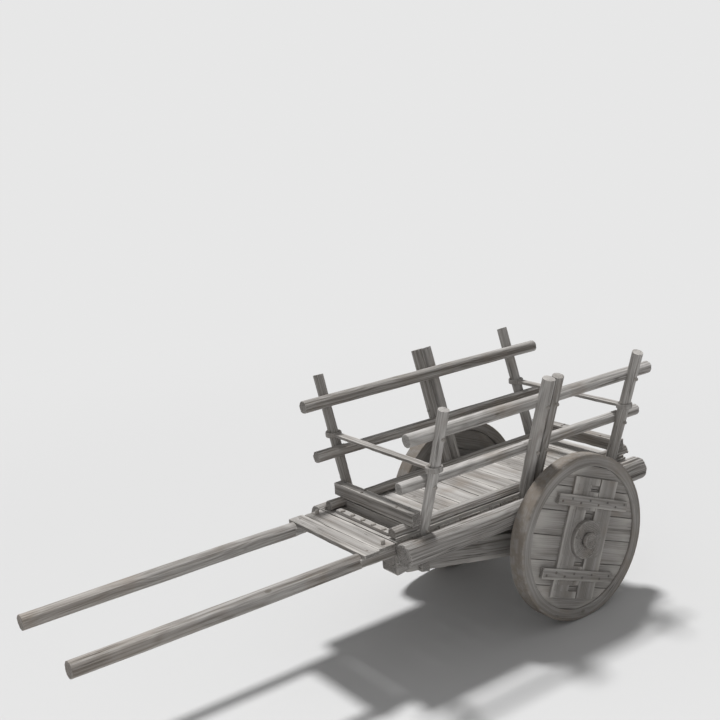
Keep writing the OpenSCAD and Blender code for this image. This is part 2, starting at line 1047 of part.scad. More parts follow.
module rail_pins() {
  placed()
    color(wood_dark) {
      rail_pin();
      right_side()
        rail_pin();
    }
}

module stake_pegs_left() {
  placed()
    stake_pegs();
}

module stake_pegs_right() {
  placed()
    right_side()
      stake_pegs();
}

// Puts the left wheel's pieces on the axle, turned as the wheel stands
module on_axle() {
  translate([0, 0, axle_z])
    rotate([0, -wheel_turn, 0])
      children();
}

// A disc square to the axle between two planes
module disc_y(y0, y1, r) {
  translate([0, y0, 0])
    rotate([-90, 0, 0])
      cylinder(h = y1 - y0, r = r);
}

// Every nail of the battens; extra widens the shanks into holes
module batten_nail_set(extra = 0) {
  for (side = [-1, 1])
    for (k = [0:batten_nails - 1])
      translate([-batten_length / 2 + batten_nail_edge + k * batten_nail_step, 0,
          side * batten_offset + (k % 2 == 0 ? 9 : -9)])
        rotate([-90, 0, 0]) {
          translate([0, 0, batten_out - nail_length - extra])
            cylinder(h = nail_length + extra + 0.5, r = nail_r + extra);
          if (extra == 0) {
            translate([0, 0, batten_out + tiny])
              cylinder(h = nail_head_h / 2, r = nail_head_r);
            translate([0, 0, batten_out + tiny + nail_head_h / 2])
              cylinder(h = nail_head_h / 2, r1 = nail_head_r, r2 = nail_head_r * 0.6);
          }
        }
}

// Broad wooden ring of the wheel
module wheel_rim() {
  color(wood)
    difference() {
      union() {
        disc_y(wheel_in + 4, wheel_out - 4, wheel_r);
        translate([0, wheel_out - 4, 0])
          rotate([-90, 0, 0])
            cylinder(h = 4, r1 = wheel_r, r2 = wheel_r - 4);
        translate([0, wheel_in, 0])
          rotate([-90, 0, 0])
            cylinder(h = 4, r1 = wheel_r - 4, r2 = wheel_r);
      }
      disc_y(wheel_in - 1, wheel_out + 1, rim_bore_r);
    }
}

// Parallel planks that fill the ring
module wheel_planks() {
  color(wood)
    difference() {
      intersection() {
        disc_y(plank_in, plank_out, rim_bore_r - fit_gap);
        for (k = [-3:2])
          translate([-wheel_r, plank_in - 1, k == -3 ? -wheel_r : k * plank_pitch + plank_gap / 2])
            cube([
              wheel_diameter,
              plank_thickness + 2,
              k == -3 ? wheel_r - 2 * plank_pitch - plank_gap / 2
                : k == 2 ? wheel_r - 2 * plank_pitch
                : plank_pitch - plank_gap
            ]);
      }
      disc_y(plank_in - 1, plank_out + 1, nave_core_r + fit_gap);
    }
}

// A straight cut through the wheel's boards, w wide, from z0 to z1 on either side of the axle
module board_cut(x, w, z0, z1) {
  for (s = [-1, 1])
    translate([x - w / 2, plank_out - 1, s > 0 ? z0 : -z1])
      cube([w, wheel_board_thickness + 2, z1 - z0]);
}

// Two boards across the planks, with four windows and a slit at each end
module wheel_boards() {
  color(wood_light)
    difference() {
      translate([-wheel_board_half, plank_out, -wheel_board_length / 2])
        cube([2 * wheel_board_half, wheel_board_thickness, wheel_board_length]);
      board_cut(-board_joint_offset, board_joint, -1, wheel_board_length);
      board_cut(-board_joint_offset, board_slit, window_far - 1, wheel_board_length);
      board_cut(0, window_width, window_far - window_height, window_far);
      board_cut(0, window_width, 0, window_near);
      disc_y(plank_out - 1, board_out + 1, nave_r + 0.5);
      batten_nail_set(peg_gap);
    }
}

// Two battens notched down over the boards
module wheel_battens() {
  color(wood_dark)
    difference() {
      for (s = [-1, 1])
        translate([-batten_length / 2, plank_out, s * batten_offset - batten_height / 2])
          cube([batten_length, wheel_board_thickness + batten_thickness, batten_height]);
      translate([-wheel_board_half - fit_gap, plank_out - 1, -wheel_r])
        cube([2 * wheel_board_half + 2 * fit_gap, wheel_board_thickness + 1, wheel_diameter]);
      batten_nail_set(peg_gap);
    }
}

module wheel_nails() {
  color(iron)
    batten_nail_set();
}

// Turned nave: flange outside, core through the planks
module wheel_nave() {
  core_in = wheel_in;
  color(wood_dark)
    rotate([-90, 0, 0])
      difference() {
        union() {
          translate([0, 0, core_in])
            cylinder(h = plank_out - core_in + 1, r = nave_core_r);
          translate([0, 0, plank_out])
            cylinder(h = nave_out - plank_out - 8, r = nave_r);
          translate([0, 0, nave_out - 8])
            cylinder(h = 8, r1 = nave_r, r2 = nave_r - 8);
        }
        translate([0, 0, core_in - 1])
          cylinder(h = nave_out - core_in + 2, r = arm_r + running_gap);
      }
}

module wheel_left_rim() {
  placed()
    on_axle()
      wheel_rim();
}

module wheel_left_planks() {
  placed()
    on_axle()
      wheel_planks();
}

module wheel_left_boards() {
  placed()
    on_axle()
      wheel_boards();
}

module wheel_left_battens() {
  placed()
    on_axle()
      wheel_battens();
}

module wheel_left_nails() {
  placed()
    on_axle()
      wheel_nails();
}

module wheel_left_nave() {
  placed()
    on_axle()
      wheel_nave();
}

module wheel_right_rim() {
  placed()
    right_side()
      on_axle()
        wheel_rim();
}

module wheel_right_planks() {
  placed()
    right_side()
      on_axle()
        wheel_planks();
}

module wheel_right_boards() {
  placed()
    right_side()
      on_axle()
        wheel_boards();
}

module wheel_right_battens() {
  placed()
    right_side()
      on_axle()
        wheel_battens();
}

module wheel_right_nails() {
  placed()
    right_side()
      on_axle()
        wheel_nails();
}

module wheel_right_nave() {
  placed()
    right_side()
      on_axle()
        wheel_nave();
}

shaft_left();
shaft_right();
footboard_front();
footboard_rear();
footboard_pegs();
footboard_nails();
ledger_strip();
ledger_pegs();
threshold_board();
end_block_front();
end_block_rear();
end_block_nails();
deck_boards();
side_lath_left();
side_lath_right();
sill_pole_left();
sill_pole_right();
sill_pins();
side_log_left();
side_log_right();
front_block_left();
front_block_right();
bearer_left();
bearer_right();
bearer_tie();
axle_bolster();
axle();
axle_cap_left();
axle_cap_right();
stake_front_left();
stake_front_right();
stake_mid_front_left();
stake_mid_front_right();
stake_mid_rear_left();
stake_mid_rear_right();
stake_rear_left();
stake_rear_right();
rail_upper_left();
rail_upper_right();
rail_lower_left();
rail_lower_right();
tie_bar_front();
tie_bar_rear();
tie_bar_pins();
rail_pins();
stake_pegs_left();
stake_pegs_right();
wheel_left_rim();
wheel_left_planks();
wheel_left_boards();
wheel_left_battens();
wheel_left_nails();
wheel_left_nave();
wheel_right_rim();
wheel_right_planks();
wheel_right_boards();
wheel_right_battens();
wheel_right_nails();
wheel_right_nave();
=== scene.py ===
import json
import bmesh
import bpy
import numpy as np
from math import ceil, cos, pi, radians, sin, sqrt, tan
from mathutils import Matrix, Quaternion, Vector

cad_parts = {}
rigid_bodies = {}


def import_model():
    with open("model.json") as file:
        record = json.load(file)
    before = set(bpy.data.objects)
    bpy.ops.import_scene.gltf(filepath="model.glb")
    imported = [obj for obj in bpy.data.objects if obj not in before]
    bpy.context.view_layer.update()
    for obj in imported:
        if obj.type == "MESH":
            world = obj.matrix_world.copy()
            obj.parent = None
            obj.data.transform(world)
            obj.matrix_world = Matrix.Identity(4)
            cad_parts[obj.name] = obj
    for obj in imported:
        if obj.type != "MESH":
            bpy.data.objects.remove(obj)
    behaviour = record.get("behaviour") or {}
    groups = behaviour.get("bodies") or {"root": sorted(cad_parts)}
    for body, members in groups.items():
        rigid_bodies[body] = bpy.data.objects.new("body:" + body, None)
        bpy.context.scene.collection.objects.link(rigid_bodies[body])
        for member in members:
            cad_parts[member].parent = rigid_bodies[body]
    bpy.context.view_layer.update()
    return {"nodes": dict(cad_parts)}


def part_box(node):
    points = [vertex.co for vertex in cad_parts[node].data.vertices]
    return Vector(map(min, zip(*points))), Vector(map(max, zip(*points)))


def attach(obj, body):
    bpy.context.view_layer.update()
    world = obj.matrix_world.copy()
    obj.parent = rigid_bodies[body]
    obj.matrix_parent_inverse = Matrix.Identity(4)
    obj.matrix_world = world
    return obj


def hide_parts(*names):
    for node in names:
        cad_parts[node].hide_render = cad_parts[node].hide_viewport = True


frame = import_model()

scene = bpy.context.scene
scene.view_settings.view_transform = "Standard"
print("frame loaded:", len(frame["nodes"]), "nodes")

axleX, axleZ = -1.0425, 0.45      # the wheels' axis
lean = radians(18.1)              # of the stakes
stakeOut = Vector((0, cos(lean), -sin(lean)))    # square to a stake on the left
sides = {"left": 1, "right": -1}


# help with node trees

class Wiring:
    def __init__(self, tree):
        self.tree = tree

    def feed(self, socket, value):
        if isinstance(value, bpy.types.NodeSocket):
            self.tree.links.new(value, socket)
        else:
            socket.default_value = value

    def node(self, kind, inputs=None, **settings):
        # "Math" stands for "ShaderNodeMath"; other kinds are in full
        made = self.tree.nodes.new(kind if "Node" in kind else "ShaderNode" + kind)
        for key, value in settings.items():
            setattr(made, key, value)
        for key, value in (inputs or {}).items():
            self.feed(made.inputs[key], value)
        return made

    def geo(self, kind, inputs=None, **settings):
        return self.node("GeometryNode" + kind, inputs, **settings).outputs[0]

    def math(self, operation, a, b=0.0, c=0.0, clamp=False):
        return self.node("Math", {0: a, 1: b, 2: c}, operation=operation, use_clamp=clamp).outputs[0]

    def times(self, a, b, plus=None):
        return self.math("MULTIPLY", a, b) if plus is None else self.math("MULTIPLY_ADD", a, b, plus)

    def vector(self, operation, a, b=(0, 0, 0)):
        made = self.node("VectorMath", {0: a, 1: b}, operation=operation)
        return made.outputs["Value" if operation == "LENGTH" else "Vector"]

    def scaled(self, vector, much):
        return self.node("VectorMath", {0: vector, "Scale": much}, operation="SCALE").outputs[0]

    def combine(self, x=0.0, y=0.0, z=0.0):
        return self.node("CombineXYZ", {0: x, 1: y, 2: z}).outputs[0]

    def split(self, vector):
        return self.node("SeparateXYZ", {0: vector}).outputs

    def noise(self, vector, scale, detail=2.0, rough=0.5):
        inputs = {"Vector": vector, "Scale": scale, "Detail": detail, "Roughness": rough}
        return self.node("TexNoise", inputs).outputs["Fac"]

    def ramp(self, value, low, high, outLow=0.0, outHigh=1.0):
        inputs = {"Value": value, "From Min": low, "From Max": high, "To Min": outLow, "To Max": outHigh}
        return self.node("MapRange", inputs, interpolation_type="SMOOTHSTEP").outputs["Result"]

    def mix(self, factor, a, b):
        return self.node("Mix", {0: factor, 6: a, 7: b}, data_type="RGBA").outputs[2]

    def store(self, geometry, name, value, kind="FLOAT", domain="POINT"):
        inputs = {"Name": name, "Geometry": geometry, "Value": value}
        return self.geo("StoreNamedAttribute", inputs, data_type=kind, domain=domain)


def newTree(kind, name, inputs, outputs):
    # an empty group with named sockets
    tree = bpy.data.node_groups.new(name, kind)
    for way, sockets in (("INPUT", inputs), ("OUTPUT", outputs)):
        for label, socket in sockets.items():
            tree.interface.new_socket(label, in_out=way, socket_type="NodeSocket" + socket)
    wire = Wiring(tree)
    return wire, wire.node("NodeGroupInput").outputs, wire.node("NodeGroupOutput").inputs


def startMaterial(name):
    material = bpy.data.materials.new(name)
    material.use_nodes = True
    return material, Wiring(material.node_tree), material.node_tree.nodes["Principled BSDF"]


def linkNew(name, data):
    made = bpy.data.objects.new(name, data)
    scene.collection.objects.link(made)
    return made


# camera, light and floor

cameraLook = {"place": (2.9525, 4.332, 2.814), "target": (-0.0764, -0.002, 1.544), "roll": -4.745, "lens": 54.905}
studio = {
    "background": (0.8, 0.8, 0.8), "skyLight": 0.33,
    "floor": (0.57, 0.57, 0.57), "floorRadius": 14, "floorFade": (2.6, 8.0),
    "sunStrength": 3.45, "sunFrom": (-0.25, -0.42, 1.25), "sunSoftness": 8,
    "fillStrength": 22, "fillSize": 3.0, "fillPlace": (2.9, 3.4, 2.3), "fillTarget": (-0.3, 0, 0.5),
}


def aim(made, direction, roll=0.0):
    made.rotation_mode = "QUATERNION"
    turn = direction.to_track_quat("-Z", "Y")
    made.rotation_quaternion = turn @ Quaternion((0, 0, 1), radians(roll))


def makeCamera():
    camera = linkNew("photoCamera", bpy.data.cameras.new("photoCamera"))
    camera.data.sensor_width = 36
    camera.data.lens = cameraLook["lens"]
    camera.data.clip_end = 200
    camera.location = cameraLook["place"]
    aim(camera, Vector(cameraLook["target"]) - Vector(cameraLook["place"]), cameraLook["roll"])
    scene.camera = camera


def anySeen(wire):
    # one for rays from the camera, a reflection or a see-through surface
    rays = wire.node("LightPath").outputs
    most = wire.math("MAXIMUM", rays["Is Camera Ray"], rays["Is Glossy Ray"])
    return wire.math("MAXIMUM", most, rays["Is Transmission Ray"])


def makeLights():
    sun = linkNew("sun", bpy.data.lights.new("sun", "SUN"))
    sun.data.energy = studio["sunStrength"]
    sun.data.angle = radians(studio["sunSoftness"])
    aim(sun, -Vector(studio["sunFrom"]))
    fill = linkNew("fill", bpy.data.lights.new("fill", "AREA"))
    fill.data.size = studio["fillSize"]
    fill.data.energy = studio["fillStrength"]
    fill.location = studio["fillPlace"]
    aim(fill, Vector(studio["fillTarget"]) - fill.location)
    world = bpy.data.worlds.new("studioWorld")
    world.use_nodes = True
    world.node_tree.nodes.clear()
    w = Wiring(world.node_tree)
    sky = w.node("Background", {"Color": (1, 1, 1, 1), "Strength": studio["skyLight"]})
    seen = w.node("Background", {"Color": (*studio["background"], 1)})
    mixed = w.node("MixShader", {0: anySeen(w), 1: sky.outputs[0], 2: seen.outputs[0]})
    w.node("OutputWorld", {"Surface": mixed.outputs[0]})
    scene.world = world


def makeFloor():
    mesh = bpy.data.meshes.new("studioFloor")
    radius, corners = studio["floorRadius"], 96
    ring = [(radius * cos(a), radius * sin(a), 0) for a in np.linspace(0, 2 * pi, corners, endpoint=False)]
    mesh.from_pydata(ring, [], [list(range(corners))])
    floor = linkNew("studioFloor", mesh)
    material, w, shader = startMaterial("floorPaper")
    for label, value in (("Base Color", (*studio["floor"], 1)), ("Roughness", 0.9), ("Specular IOR Level", 0.1)):
        w.feed(shader.inputs[label], value)
    glow = w.node("Emission", {"Color": (*studio["background"], 1)})
    distance = w.vector("LENGTH", w.node("TexCoord").outputs["Object"])
    far = w.times(w.ramp(distance, *studio["floorFade"]), anySeen(w))
    mixed = w.node("MixShader", {0: far, 1: shader.outputs[0], 2: glow.outputs[0]})
    w.feed(w.tree.nodes["Material Output"].inputs["Surface"], mixed.outputs[0])
    mesh.materials.append(material)


makeCamera()
makeLights()
makeFloor()
print("camera, light and floor ready")


# weathered wood and iron

weather = {    # colours that all the woods share
    "stain": (0.215, 0.17, 0.13, 1), "rubbedAndTopLight": (0.62, 0.59, 0.55, 1), "endGrain": (0.1, 0.088, 0.075, 1),
    "crack": (0.045, 0.04, 0.035, 1), "soil": (0.205, 0.175, 0.145, 1), "handled": (0.27, 0.215, 0.165, 1),
}
woodLooks = {    # light and dark colour, width of the year rings, cracks, strength of the grain, relief
    "pole_wood": ((0.52, 0.503, 0.486), (0.146, 0.131, 0.115), 0.0011, 0.55, 1.0, 0.0034),
    "log_wood": ((0.53, 0.511, 0.492), (0.104, 0.093, 0.082), 0.0013, 0.75, 1.05, 0.0042),
    "plank_wood": ((0.5, 0.483, 0.466), (0.136, 0.122, 0.107), 0.0012, 0.6, 0.95, 0.0028),
    "beam_wood": ((0.44, 0.423, 0.406), (0.114, 0.102, 0.089), 0.0014, 0.65, 1.0, 0.0036),
    "wheel_wood": ((0.375, 0.361, 0.347), (0.152, 0.138, 0.123), 0.0015, 0.5, 0.46, 0.0024),
    "peg_wood": ((0.5, 0.47, 0.435), (0.18, 0.165, 0.15), 0.0009, 0.3, 0.8, 0.0014),
}
ironLook = {"iron": (0.125, 0.12, 0.114, 1), "rust": (0.175, 0.128, 0.095, 1), "metallic": 0.3, "relief": 0.0012}
grainNoise = {    # stretch along the grain, scale, detail, roughness
    "wander": (0.22, 9), "fibre": (0.014, 420, 3, 0.62), "streak": (0.01, 135, 2, 0.58), "broad": (0.25, 11),
    "crack": (0.02, 62, 1), "cracked": (0.2, 14, 1),
}
pointMarks = {"Place": "grainPlace", "Tone": "tone", "Wear": "wearAndTopLight", "End": "endGrain", "Hollow": "hollow",
              "Soil": "soil", "Handled": "handled"}
surface = {"Color": "Color", "Roughness": "Float", "Height": "Float"}


def makeWoodGroup():
    # Place runs along the grain in x and across it in y and z, in metres
    amounts = ("Tone", "Wear", "End", "Hollow", "Soil", "Handled", "Ring Width", "Cracks", "Grain")
    w, given, out = newTree("ShaderNodeTree", "weatheredGrain", {
        "Place": "Vector", "Light": "Color", "Dark": "Color", **dict.fromkeys(amounts, "Float")}, surface)
    place, light, dark, cracks = (given[label] for label in ("Place", "Light", "Dark", "Cracks"))

    def along(name):
        stretch, *values = grainNoise[name]
        return w.noise(w.vector("MULTIPLY", place, (stretch, 1, 1)), *values)

    def offMiddle(value):
        return w.math("SUBTRACT", value, 0.5)

    across = w.vector("MULTIPLY", place, (0, 1, 1))
    fromHeart = w.vector("LENGTH", across)
    radius = w.math("ADD", fromHeart, w.times(offMiddle(along("wander")), 0.05))
    rings = w.times(w.math("SINE", w.math("DIVIDE", radius, given["Ring Width"])), 0.5, 0.5)
    fibre, streak, broad = along("fibre"), along("streak"), along("broad")
    # drying cracks: thin lines where a stretched noise passes its middle, only in some stretches
    line = w.math("ABSOLUTE", offMiddle(along("crack")))
    where = w.ramp(along("cracked"), 0.5, 0.66)
    crack = w.times(w.ramp(line, 0.004, 0.02, 1.0, 0.0), w.times(where, cracks))
    # knots: stretched cells with a dark heart
    cells = w.node("TexVoronoi", {"Vector": w.vector("MULTIPLY", place, (0.55, 1, 1)), "Scale": 6.5})
    knot = w.ramp(cells.outputs["Distance"], 0.035, 0.085, 1.0, 0.0)
    pale = w.times(offMiddle(rings), 0.22, 0.5)
    for part, much in ((fibre, 0.8), (streak, 1.05), (broad, 0.34), (given["Tone"], 0.42)):
        pale = w.times(offMiddle(part), w.times(given["Grain"], much), pale)
    # painted shade and highlight: the grooves of the relief are darkened and its ridges lightened
    pale = w.math("SUBTRACT", pale, w.times(given["Hollow"], 0.3))
    pale = w.math("SUBTRACT", pale, w.times(knot, 0.35), clamp=True)
    colour = w.mix(pale, dark, light)
    colour = w.mix(w.ramp(w.noise(place, 3.4, 3.0, 0.6), 0.5, 0.72, 0.0, 0.4), colour, weather["stain"])
    # the pale rubbed colour is real edge wear; on the stake tops it is a painted highlight
    rubbedAndTopLight = w.times(given["Wear"], w.ramp(broad, 0.36, 0.6, 0.15, 0.75))
    colour = w.mix(rubbedAndTopLight, colour, w.mix(0.55, light, weather["rubbedAndTopLight"]))
    endShade = w.times(given["End"], w.times(rings, -0.26, 0.3))
    colour = w.mix(endShade, colour, w.mix(0.5, dark, weather["endGrain"]))
    # checks: cracks that run out from the heart across the end grain
    _, y, z = w.split(across)
    spoke = w.combine(w.times(w.math("ARCTAN2", y, z), 1.3), w.times(fromHeart, 5.0))
    check = w.ramp(w.math("ABSOLUTE", offMiddle(w.noise(spoke, 2.3))), 0.002, 0.012, 0.8, 0.0)
    crack = w.math("MAXIMUM", crack, w.times(w.times(check, given["End"]), cracks))
    colour = w.mix(crack, colour, weather["crack"])
    soiled = w.times(given["Soil"], w.ramp(w.noise(place, 26.0, 3.0, 0.6), 0.34, 0.62, 0.25, 0.85))
    colour = w.mix(soiled, colour, weather["soil"])
    handled = w.times(given["Handled"], 0.45)
    w.feed(out["Color"], w.mix(handled, colour, w.mix(0.5, colour, weather["handled"])))
    w.feed(out["Roughness"], w.times(handled, -0.62, w.times(pale, 0.14, 0.74)))
    height = w.times(fibre, 0.3)
    for part, much in ((streak, 0.85), (rings, 0.14), (knot, 0.25), (crack, -1.3)):
        height = w.times(part, much, height)
    w.feed(out["Height"], height)
    return w.tree


def makeIronGroup():
    inputs = {"Place": "Vector", "Iron": "Color", "Rust": "Color"}
    w, given, out = newTree("ShaderNodeTree", "forgedIron", inputs, surface)
    rust = w.ramp(w.noise(given["Place"], 75.0, 3.0, 0.6), 0.46, 0.66)
    w.feed(out["Color"], w.mix(rust, given["Iron"], given["Rust"]))
    w.feed(out["Roughness"], w.times(rust, 0.32, 0.5))
    w.feed(out["Height"], w.noise(given["Place"], 240.0, 3.0, 0.6))
    return w.tree


def dress(w, shader, group, values, relief, fixed):
    # colour, roughness and relief come from the group; fixed values stand on the shader itself
    placed = w.node("Group", values, node_tree=group).outputs
    bump = w.node("Bump", {"Strength": 1.0, "Distance": relief, "Height": placed["Height"]})
    for label, value in {**fixed, "Base Color": placed["Color"], "Roughness": placed["Roughness"],
                         "Normal": bump.outputs["Normal"]}.items():
        w.feed(shader.inputs[label], value)


def makeMaterials():
    grain, metal, made = makeWoodGroup(), makeIronGroup(), {}
    for slot, (light, dark, ringWidth, cracks, strength, relief) in woodLooks.items():
        made[slot], w, shader = startMaterial(slot)
        values = {"Light": (*light, 1), "Dark": (*dark, 1), "Ring Width": ringWidth, "Cracks": cracks,
                  "Grain": strength}
        for label, mark in pointMarks.items():
            point = w.node("Attribute", attribute_name=mark, attribute_type="GEOMETRY")
            values[label] = point.outputs["Vector" if label == "Place" else "Fac"]
        dress(w, shader, grain, values, relief, {"Specular IOR Level": 0.28})
    made["nail_iron"], w, shader = startMaterial("nail_iron")
    place = w.node("TexCoord").outputs["Object"]
    values = {"Place": place, "Iron": ironLook["iron"], "Rust": ironLook["rust"]}
    dress(w, shader, metal, values, ironLook["relief"], {"Metallic": ironLook["metallic"]})
    return made


materials = makeMaterials()
print("materials ready:", len(materials))


# shaping tools

def softNoise(points, seed):
    # smooth lattice noise from -1 to 1 for an array of 3-D points
    points = np.asarray(points, float) + seed * np.array([17.31, 5.77, 11.93])
    low = np.floor(points)
    part = points - low
    part = part * part * (3 - 2 * part)
    low = low.astype(np.int64)
    total = np.zeros(len(points))
    for corner in np.ndindex(2, 2, 2):
        mixed = ((low + corner) * (374761393, 668265263, 2147483629)).sum(1)
        mixed = (mixed ^ (mixed >> 13)) * 1274126177
        value = ((mixed ^ (mixed >> 16)) & 0xFFFF) / 32767.5 - 1
        share = np.where(corner, part, 1 - part)
        total += value * (share[:, 0] * share[:, 1]) * share[:, 2]
    return total


def sectionBase(perSide, spread):
    # points round the edge of a unit square, crowded at its corners, at the middle of its sides or even round a circle
    steps = np.linspace(-1, 1, perSide, endpoint=False)
    if spread == "round":
        steps = np.tan(steps * pi / 4)
    elif spread == "middle":
        steps = np.sign(steps) * (0.35 * np.abs(steps) + 0.65 * np.abs(steps) ** 3)
    else:
        steps = np.sin(steps * pi / 2)
    one = np.ones(perSide)
    return np.concatenate([np.stack(s, 1) for s in ((one, steps), (-steps, one), (-one, -steps), (steps, -one))])


def roundedSection(base, halfWide, halfHigh, corner):
    sharp = base * (halfWide, halfHigh)
    inner = np.clip(sharp, (-halfWide + corner, -halfHigh + corner), (halfWide - corner, halfHigh - corner))
    outward = sharp - inner
    outward /= np.maximum(np.linalg.norm(outward, axis=1, keepdims=True), 1e-9)
    return inner + outward * corner, outward


def smooth(mesh):
    mesh.polygons.foreach_set("use_smooth", [True] * len(mesh.polygons))


def meshPiece(name, points, faces, attributes):
    mesh = bpy.data.meshes.new(name)
    mesh.from_pydata(points.tolist(), [], faces)
    for key, values in attributes.items():
        kind, field = ("FLOAT_VECTOR", "vector") if np.ndim(values) == 2 else ("FLOAT", "value")
        mesh.attributes.new(key, kind, "POINT").data.foreach_set(field, np.asarray(values, np.float32).ravel())
    smooth(mesh)
    mesh.update()
    mesh.set_sharp_from_angle(angle=radians(28))
    return mesh


def addPiece(name, mesh, slot, body="cart"):
    made = linkNew(name, mesh)
    if not mesh.materials:
        mesh.materials.append(materials[slot])
    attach(made, body)
    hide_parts(name)
    return made


def outBox(name):
    # a node's box, with y counted outwards from the cart's middle
    lo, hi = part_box(name)
    near, far = sorted((abs(lo.y), abs(hi.y)))
    return Vector((lo.x, near, lo.z)), Vector((hi.x, far, hi.z))


def loft(start, end, wide, high, corner, seed, up=(0, 0, 1), step=0.014, perSide=10, roundish=False, flute=0.0006,
         fluteWidth=0.011, fluteLength=0.45, rearFlute=1.0, lump=0.0006, lumpSize=0.07, bend=0.0, edge=0.003,
         tilt=(0.0, 0.0), cutRough=0.0008, change=None, mirror=1, grainTurn=False, spread="edges", cuts=(),
         tones=(0.15, 0.85), dish=0.0):
    # a timber from start to end; change(x) may give (wide, high, corner, sideways, upward) at x metres from start
    start, end = Vector(start), Vector(end)
    along = (end - start).normalized()
    side = Vector(up).cross(along).normalized()
    turn = Matrix((along, side, along.cross(side))).transposed()
    length = (end - start).length
    rings = max(4, round((length - 2 * edge) / step))
    inner = sorted([*np.linspace(edge, length - edge, rings + 1), *(c + d for c in cuts for d in (-0.0004, 0.0004))])
    spots = [0.0, edge * 0.12, edge * 0.5, *inner, length - edge * 0.5, length - edge * 0.12, length]
    easing = [edge, edge * 0.5, edge * 0.13]
    base = sectionBase(perSide, "round" if roundish else spread)
    count = len(base)
    rnd = np.random.default_rng(seed)
    pith = rnd.uniform(-0.35, 0.35, 2) * (wide, high)
    bendWay, cutWay = ((cos(phase), sin(phase)) for phase in rnd.uniform(0, 6.28, 2))
    cornerWear = np.clip((np.linalg.norm(base, axis=1) - 1.12) / 0.25, 0, 1) * (not roundish)
    places, outwards, marks = [], [], []    # marks: wear, end grain, painted groove shade
    for x, inset in zip(spots, easing + [0.0] * len(inner) + easing[::-1]):
        w, h, c, dy, dz = change(x) if change else (wide, high, corner, 0.0, 0.0)
        hw, hh = w / 2 - inset, h / 2 - inset
        worn = c if roundish else c * (1 + 0.45 * sin(x * 23 + seed) + 0.3 * sin(x * 61 + 2.1 * seed))
        rc = max(min(worn, hw, hh) - inset * 0.3, min(0.0006, hw, hh))
        if roundish and c >= min(w, h) / 2 * 0.999:
            rc = min(hw, hh)
        section, outward = roundedSection(base, hw, hh, rc)
        swing = bend * sin(pi * x / length)
        section = section + (dy + swing * bendWay[0], dz + swing * bendWay[1])
        wear = np.maximum(cornerWear, (0.35 if roundish else 0.8) if inset > 0 else 0.0)
        places.append(np.column_stack([np.full(count, x), section]))
        outwards.append(np.column_stack([np.zeros(count), outward]))
        marks.append(np.column_stack([wear, np.full(count, inset >= edge * 0.5), np.zeros(count)]))
    places, outwards, marks = (np.concatenate(rows) for rows in (places, outwards, marks))
    field = places[:, [1, 0, 2]] if grainTurn else places
    field = field * (1 / fluteLength, 1 / fluteWidth, 1 / fluteWidth)
    swell = 1 + (rearFlute - 1) * np.clip(1.3 - 1.6 * places[:, 0] / length, 0, 1)    # deeper ridges behind
    furrow = softNoise(field, seed) + 0.5 * softNoise(field * (1.7, 2.2, 2.2), seed + 3)
    relief = flute * swell * (furrow - 0.25 * (furrow < -0.55))
    relief += lump * softNoise(places / (lumpSize * 2.4, lumpSize, lumpSize), seed + 7)
    shaped = places + outwards * relief[:, None]
    # painted shade: the grooves of the relief get a darkening mark, the ridges a lightening one
    marks[:, 2] = -furrow * swell
    total = len(shaped)
    faces = [(r + k, r + (k + 1) % count, r + count + (k + 1) % count, r + count + k)
             for r in range(0, total - count, count) for k in range(count)]
    points, places, marks = [shaped], [places], [marks]
    for atEnd in (0, 1):
        rim = shaped[-count:] if atEnd else shaped[:count]
        middle, inward = rim.mean(0), (1 - 2 * atEnd) * dish
        previous = len(shaped) - count if atEnd else 0
        for share in (0.82, 0.6, 0.36, 0.14, 0.0):
            loop = middle + (rim - middle) * share + (inward * (1 - share ** 5), 0, 0)
            loop = loop if share else loop[:1]
            points.append(loop)
            places.append(loop)
            marks.append(np.tile((0.0, 1.0, 0.0), (len(loop), 1)))
            for k in range(count):
                after = (k + 1) % count
                face = (previous + k, previous + after, *((total + after, total + k) if share else (total,)))
                faces.append(face if atEnd else face[::-1])
            previous, total = total, total + len(loop)
    points, places, marks = (np.concatenate(rows) for rows in (points, places, marks))
    # the saw or axe left each end a little out of square and rough
    for atEnd, slant in enumerate(tilt):
        here = (points[:, 0] >= length * 0.5) == atEnd
        reach = np.clip(1 - (length - points[:, 0] if atEnd else points[:, 0]) / 0.04, 0, 1) * here
        points[:, 0] += reach * slant * (points[:, 1] * cutWay[0] + points[:, 2] * cutWay[1])
        rough = softNoise(points * (0, 160, 160), seed + 20 + atEnd) * cutRough
        points[:, 0] += rough * reach * (0.3 + 0.7 * (marks[:, 1] > 0.5))
    world = points @ np.array(turn).T + np.array(start)
    grain = places - (0, *pith)
    grain = (grain[:, [1, 0, 2]] if grainTurn else grain) + (rnd.uniform(0, 40), 0, 0)
    none = np.zeros(len(world))
    return world * (1, mirror, 1), faces, {
        "grainPlace": grain, "wearAndTopLight": marks[:, 0], "endGrain": marks[:, 1], "hollow": marks[:, 2],
        "soil": none, "handled": none, "tone": none + rnd.uniform(*tones)}, mirror < 0


def alongX(x0, x1, y, z, *size, **look):
    return loft((x0, y, z), (x1, y, z), *size, **look)


def acrossY(y0, y1, x, z, *size, **look):
    return loft((x, y0, z), (x, y1, z), *size, **look)


def joined(parts):
    # several lofts as one mesh
    points, faces, attributes, offset = [], [], {}, 0
    for world, quads, given, flip in parts:
        points.append(world)
        faces += [tuple(i + offset for i in (f[::-1] if flip else f)) for f in quads]
        for key, values in given.items():
            attributes.setdefault(key, []).append(values)
        offset += len(world)
    return np.concatenate(points), faces, {k: np.concatenate(v) for k, v in attributes.items()}


def addLofts(name, parts, slot, body="cart"):
    return addPiece(name, meshPiece(name, *joined(parts)), slot, body)


# round poles: rails, sill poles, side logs

